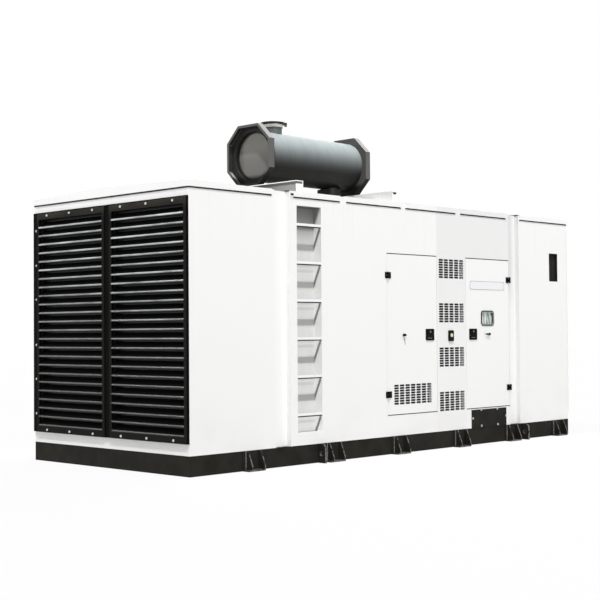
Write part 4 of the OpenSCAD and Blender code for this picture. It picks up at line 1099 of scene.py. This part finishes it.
bevelled_box(shape, (SCREEN_X - DISPLAY_HALF, PANEL_Y - 0.0075, DISPLAY_Z[0]),
             (SCREEN_X + DISPLAY_HALF, PANEL_Y - 0.005, DISPLAY_Z[1]), 0.001, 1)
keep_shape("controller_display", shape, screen_glow)

# %% Row of cabinet lamps
LAMPS, LAMP_PITCH, LAMP_Z = 3, 0.040, 1.640
LAMP_PROFILE = [(0.011, 0.0), (0.011, 0.006), (0.008, 0.010), (0.004, 0.012)]
shape = bmesh.new()
for i in range(LAMPS):
    turned(shape, (cab_high.x - 0.120 - LAMP_PITCH * i, FRONT_Y - SHEET_OUT, LAMP_Z), (0, -1, 0),
           LAMP_PROFILE, 18)
keep_shape("cabinet_lamps", shape, lamp_plastic)

# %% [markdown]
# ## Lock faces and wing latches
# A paddle lock has a flap that is pulled outwards, a key cylinder over it and a narrow lip below
# where the fingers go in. The cylinder's face and the edge of the lip are worn bare. The small
# latch on each door is turned by a wing on its knob, and a short strap hangs from the engine
# door's. These are drawn as thin turned and rounded pieces on the faces of the model's locks.

# %% Lock faces
LOCK_X = {"engine_door": 0.335, "control_door": 1.084}
PLATE_IN, PADDLE_IN, PADDLE_X, PADDLE_HALF = 0.014, 0.008, -0.014, 0.036
CYLINDER_X, CYLINDER_Z, LIP_Z = -0.003, 0.030, (-0.038, -0.033)
EDGE_X, EDGE_Z, SUNK, PROUD = (-0.061, -0.056), (-0.016, -0.004), 0.0005, 0.0015
CYLINDER_PROFILE = [(0.010, 0.0), (0.010, 0.0025), (0.008, 0.0035), (0.003, 0.0036)]
for door, lock_x in LOCK_X.items():
    lock_low, lock_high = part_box(door + "_lock")
    plate_y, paddle_y = lock_low.y + PLATE_IN, lock_low.y + PADDLE_IN
    lock_z = (lock_low.z + lock_high.z) / 2
    paddle_x = lock_x + PADDLE_X
    shape = bmesh.new()
    turned(shape, (lock_x + CYLINDER_X, paddle_y + SUNK, lock_z + CYLINDER_Z), (0, -1, 0),
           CYLINDER_PROFILE, 20)
    bevelled_box(shape, (paddle_x - PADDLE_HALF, paddle_y - PROUD, lock_z + LIP_Z[0]),
                 (paddle_x + PADDLE_HALF, paddle_y + SUNK, lock_z + LIP_Z[1]), 0.0008, 1)
    bevelled_box(shape, (lock_x + EDGE_X[0], plate_y - PROUD, lock_z + EDGE_Z[0]),
                 (lock_x + EDGE_X[1], plate_y + SUNK, lock_z + EDGE_Z[1]), 0.0008, 1)
    keep_shape(door + "_lock_trim", shape, worn_bead, door)

# %% Latch wings
WING_THICKNESS = 0.010
WINGS = {"engine_door": [(-0.026, 0.026, 0.011)],
         "control_door": [(-0.054, 0.014, 0.009), (-0.080, -0.052, 0.004)]}
for door, spans in WINGS.items():
    latch_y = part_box(door + "_lock")[0].y
    shape = bmesh.new()
    for x0, x1, half_height in spans:
        bevelled_box(shape, (LATCH_X[door] + x0, latch_y + 0.0005, LATCH_Z - half_height),
                     (LATCH_X[door] + x1, latch_y + WING_THICKNESS, LATCH_Z + half_height),
                     0.004, 3)
    keep_shape(door + "_latch_wing", shape, nylon, door)

# %% Hanging strap
STRAP_LEAN, STRAP_TOP, STRAP_END, STRAP_HALF = math.radians(-12), -0.020, -0.100, 0.005
leaf_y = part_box("engine_door_leaf")[0].y
shape = bmesh.new()
bevelled_box(shape, (-STRAP_HALF, leaf_y - 0.003, STRAP_END),
             (STRAP_HALF, leaf_y - 0.0005, STRAP_TOP), 0.001, 1)
bmesh.ops.rotate(shape, verts=shape.verts[:], cent=(0, 0, 0),
                 matrix=Matrix.Rotation(STRAP_LEAN, 3, "Y"))
bmesh.ops.translate(shape, verts=shape.verts[:],
                    vec=(LATCH_X["engine_door"] + 0.006, 0, LATCH_Z))
keep_shape("engine_door_latch_strap", shape, strip_grey, "engine_door")

# %% [markdown]
# ## Lips of the ventilation slots
# Each punched slot has a black plastic bush pressed in from outside. Its lip, 2 mm wide and less
# than 1 mm thick, covers the cut edge. One lip is a small rectangle swept along the slot's
# outline, and a node tree repeats it on a point per slot.

# %% Lip tree
CORNER_SHARE, CORNER_STEPS = 0.49, 5
lip_tree, given = start_tree("slot_lips", Length="Float", Height="Float", Lip="Float",
                             Thickness="Float", Finish="Material")
lip_length, lip_height = (put(lip_tree, MATH, given[title], given["Lip"], operation="ADD")
                          for title in ("Length", "Height"))
outline = put(lip_tree, "GeometryNodeCurvePrimitiveQuadrilateral",
              {"Width": lip_length, "Height": lip_height})
corner = put(lip_tree, MATH, lip_height, CORNER_SHARE, operation="MULTIPLY")
rounded = put(lip_tree, "GeometryNodeFilletCurve",
              {"Curve": outline, "Count": CORNER_STEPS, "Radius": corner}, mode="POLY")
upright = put(lip_tree, "GeometryNodeSetCurveNormal", {"Curve": rounded}, mode="Z_UP")
section = put(lip_tree, "GeometryNodeCurvePrimitiveQuadrilateral",
              {"Width": given["Lip"], "Height": given["Thickness"]})
swept = put(lip_tree, "GeometryNodeCurveToMesh", {"Curve": upright, "Profile Curve": section})
stood = put(lip_tree, "GeometryNodeTransform",
            {"Geometry": swept, "Rotation": (math.pi / 2, 0, 0)})
end_tree(lip_tree, given, stood)

# %% Set a lip round every slot
SLOT = {"Length": 0.070, "Height": 0.016, "Lip": 0.002, "Thickness": 0.0008, "Finish": nylon}
SLOT_PITCH_X, SLOT_PITCH_Z, SLOT_ROWS, POST_GRILLES = 0.088, 0.0258, 8, 4
post_low, post_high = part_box("post_grilles")
door_low, door_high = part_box("engine_door_grille")
half_grille = (door_high.z - door_low.z) / 2
post_step = (post_high.z - post_low.z - 2 * half_grille) / (POST_GRILLES - 1)
post_middles = [post_low.z + half_grille + k * post_step for k in range(POST_GRILLES)]
for name, body, low, high, columns, middles in (
        ("post_slot_lips", "canopy", post_low, post_high, 5, post_middles),
        ("door_slot_lips", "engine_door", door_low, door_high, 7, [door_low.z + half_grille])):
    centre_x = (low.x + high.x) / 2
    places = [(centre_x + (i - (columns - 1) / 2) * SLOT_PITCH_X, low.y - 0.0002,
               middle + (j - (SLOT_ROWS - 1) / 2) * SLOT_PITCH_Z)
              for middle in middles for i in range(columns) for j in range(SLOT_ROWS)]
    keep(name, run_tree(name, lip_tree, places, SLOT), nylon, body)

# %% [markdown]
# ## Clamp on the outlet and welds on the feet
# A clamp goes round the outlet pipe under its flange, where heat has tinted the steel cream. It
# is a thin open band, drawn as rings of corners round the pipe. Each gusset of a foot is welded
# to the back plate, and boots have rubbed the paint off the bead on its front side.

# %% Outlet clamp
CLAMP_Z, CLAMP_HEIGHT, PIPE_RADIUS, SIDES = stub_high.z - 0.052, 0.032, 0.103, 64
BAND = [(PIPE_RADIUS - 0.0003, 0.0), (PIPE_RADIUS + 0.0015, 0.002),
        (PIPE_RADIUS + 0.0015, CLAMP_HEIGHT - 0.002), (PIPE_RADIUS - 0.0003, CLAMP_HEIGHT)]
stub_x, stub_y = (stub_low.x + stub_high.x) / 2, (stub_low.y + stub_high.y) / 2
shape = bmesh.new()
rings = [[shape.verts.new((stub_x + r * math.cos(2 * math.pi * i / SIDES),
                           stub_y + r * math.sin(2 * math.pi * i / SIDES), CLAMP_Z + h))
          for i in range(SIDES)] for r, h in BAND]
for lower, upper in zip(rings, rings[1:]):
    for i in range(SIDES):
        j = (i + 1) % SIDES
        shape.faces.new((lower[i], lower[j], upper[j], upper[i]))
keep_shape("outlet_clamp", shape, clamp_steel)

# %% Foot welds
FOOT_CENTRES = (-2.222, -1.164, -0.183, 0.827, 1.767, 2.707)
GUSSET_X, BEAD_WIDTH, BEAD_Y, BEAD_Z = -0.0870, 0.0100, (1.1575, 1.1665), (0.013, 0.176)
shape = bmesh.new()
for foot_x in FOOT_CENTRES:
    for side in (-1, 1):
        near, far = each_side(side, *BEAD_Y)
        bevelled_box(shape, (foot_x + GUSSET_X, near, BEAD_Z[0]),
                     (foot_x + GUSSET_X + BEAD_WIDTH, far, BEAD_Z[1]), 0.003)
keep_shape("foot_welds", shape, worn_bead)

# %% [markdown]
# ## Name plate rim, rivets and locking strip
# The plate on the rear door stays blank. A thin rolled rim runs round it, and a small rivet holds
# each corner. The window's rubber seal has a pale locking strip pushed into its groove, which
# spreads the rubber against the glass. Both are closed rims round a rounded rectangle.

# %% Rim of a rounded rectangle
def rounded_outline(low, high, radius, steps=6):
    """Corner-rounded rectangle in X and Z as a list of (x, z)."""
    corners = [(high.x - radius, high.z - radius, 0), (low.x + radius, high.z - radius, 1),
               (low.x + radius, low.z + radius, 2), (high.x - radius, low.z + radius, 3)]
    return [(cx + radius * math.cos(a), cz + radius * math.sin(a))
            for cx, cz, quarter in corners
            for a in (math.pi / 2 * (quarter + i / steps) for i in range(steps + 1))]


def rim(shape, low, high, radius, width, front, back):
    """Add a closed rim of that width, inside a rounded rectangle, from front to back in Y."""
    shrink = Vector((width, 0, width))
    outer = rounded_outline(low, high, radius)
    inner = rounded_outline(low + shrink, high - shrink, max(radius - width, 0.001))
    rings = [[shape.verts.new((x, y, z)) for x, z in line]
             for line, y in ((outer, back), (outer, front), (inner, front), (inner, back))]
    for k in range(4):
        lower, upper = rings[k], rings[(k + 1) % 4]
        for i in range(len(outer)):
            j = (i + 1) % len(outer)
            shape.faces.new((lower[i], lower[j], upper[j], upper[i]))

# %% Locking strip of the window
STRIP_WIDTH, CORNER_RADIUS = 0.007, 0.016
seal_low, seal_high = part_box("control_door_seal")
inset = Vector((0.014, 0, 0.014))
shape = bmesh.new()
rim(shape, seal_low + inset, seal_high - inset, CORNER_RADIUS, STRIP_WIDTH, seal_low.y - 0.001,
    seal_low.y + 0.001)
keep_shape("window_locking_strip", shape, strip_grey, "control_door")

# %% Rim and rivets of the name plate
RIM_WIDTH, RIM_OUT = 0.004, 0.0008
name_low, name_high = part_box("control_door_plate")
shape = bmesh.new()
rim(shape, name_low, name_high, CORNER_RADIUS, RIM_WIDTH, name_low.y - RIM_OUT,
    name_low.y + 0.001)
keep_shape("name_plate_rim", shape, rim_enamel, "control_door")
rivets = [((x_rivet, name_low.y, z_rivet), (0, -1, 0))
          for x_rivet in (name_low.x + 0.016, name_high.x - 0.016)
          for z_rivet in (name_low.z + 0.014, name_high.z - 0.014)]
fixings("name_plate_rivets", rivets, zinc, "name_plate", 0.007, 0.002, 0.008, 0.0005, 10,
        "control_door")

# %% [markdown]
# ## Floor and backdrop
# The set stands on a pale studio floor that runs out of sight. The camera, and metal and glass
# that mirror their surroundings, see floor and backdrop as white, while the set itself is lit by
# a grey floor and a dim sky, so that white panels keep their shape. The floor still takes the
# shadow, because a quarter of what the camera sees of it is real paint.

# %% Studio floor
FLOOR_Z, FLOOR_REACH, FLOOR_GLOW = -0.0005, 60, 0.75


def seen_directly(tree):
    """Mask of the rays from the camera, a mirror or glass."""
    ray = put(tree, "ShaderNodeLightPath").node.outputs
    mirrored = put(tree, MATH, ray["Is Glossy Ray"], ray["Is Transmission Ray"],
                   operation="MAXIMUM")
    return put(tree, MATH, ray["Is Camera Ray"], mirrored, operation="MAXIMUM")


floor_mesh = bpy.data.meshes.new("floor")
floor_mesh.from_pydata([(x * FLOOR_REACH, y * FLOOR_REACH, FLOOR_Z)
                        for x, y in ((-1, -1), (1, -1), (1, 1), (-1, 1))], [], [(0, 1, 2, 3)])
floor = bpy.data.objects.new("floor", floor_mesh)
scene.collection.objects.link(floor)
floor_finish = bpy.data.materials.new("pale_studio_floor")
floor_finish.use_nodes = True
tree = floor_finish.node_tree
tree.nodes.clear()
seen = seen_directly(tree)
paper = put(tree, "ShaderNodeBsdfDiffuse", put(tree, MIX, seen, "BEBEBE", "FCFCFC", **TONES))
glow = put(tree, "ShaderNodeEmission", "FFFFFF", 1.0)
put(tree, "ShaderNodeOutputMaterial",
    put(tree, "ShaderNodeMixShader", where_all(tree, seen, FLOOR_GLOW), paper, glow))
floor_mesh.materials.append(floor_finish)

# %% World
AMBIENT = 0.21
world = bpy.data.worlds.new("studio")
scene.world = world
world.use_nodes = True
tree = world.node_tree
tree.nodes.clear()
dim, white = (put(tree, "ShaderNodeBackground", "FFFFFF", level) for level in (AMBIENT, 1.0))
put(tree, "ShaderNodeOutputWorld",
    put(tree, "ShaderNodeMixShader", seen_directly(tree), dim, white))
print("floor at", FLOOR_Z, "m; ambient level", AMBIENT)

# %% [markdown]
# ## Lamps
# A high key lamp from the front corner lights the door side, a wide low one fills the walls and
# the gaps between the blades, and four weaker ones keep the end, the roof and the rear from going
# flat. They are suns, so each side is lit evenly along its whole length. The levels are set so
# that the white coat comes out just under white.

# %% Six suns
LAMPS_FROM = {
    "key": ((-0.9, -1.0, 2.2), 0.74, 3), "low_front": ((-0.2, -1.0, 0.10), 0.325, 20),
    "second": ((0.5, -1.0, 0.8), 0.05, 10), "end_steep": ((-1.0, 0.1, 1.5), 0.04, 10),
    "end_panel": ((-0.688, 0.712, 0.139), 0.24, 6), "top_back": ((0.69, 0.60, 0.30), 0.10, 35),
}
for name, (direction, level, spread_deg) in LAMPS_FROM.items():
    data = bpy.data.lights.new(name, "SUN")
    data.energy = level * math.pi
    data.angle = math.radians(spread_deg)
    lamp = bpy.data.objects.new(name, data)
    scene.collection.objects.link(lamp)
    lamp.rotation_euler = Vector(direction).to_track_quat("Z", "Y").to_euler()
    print("lamp", name, "at level", level)
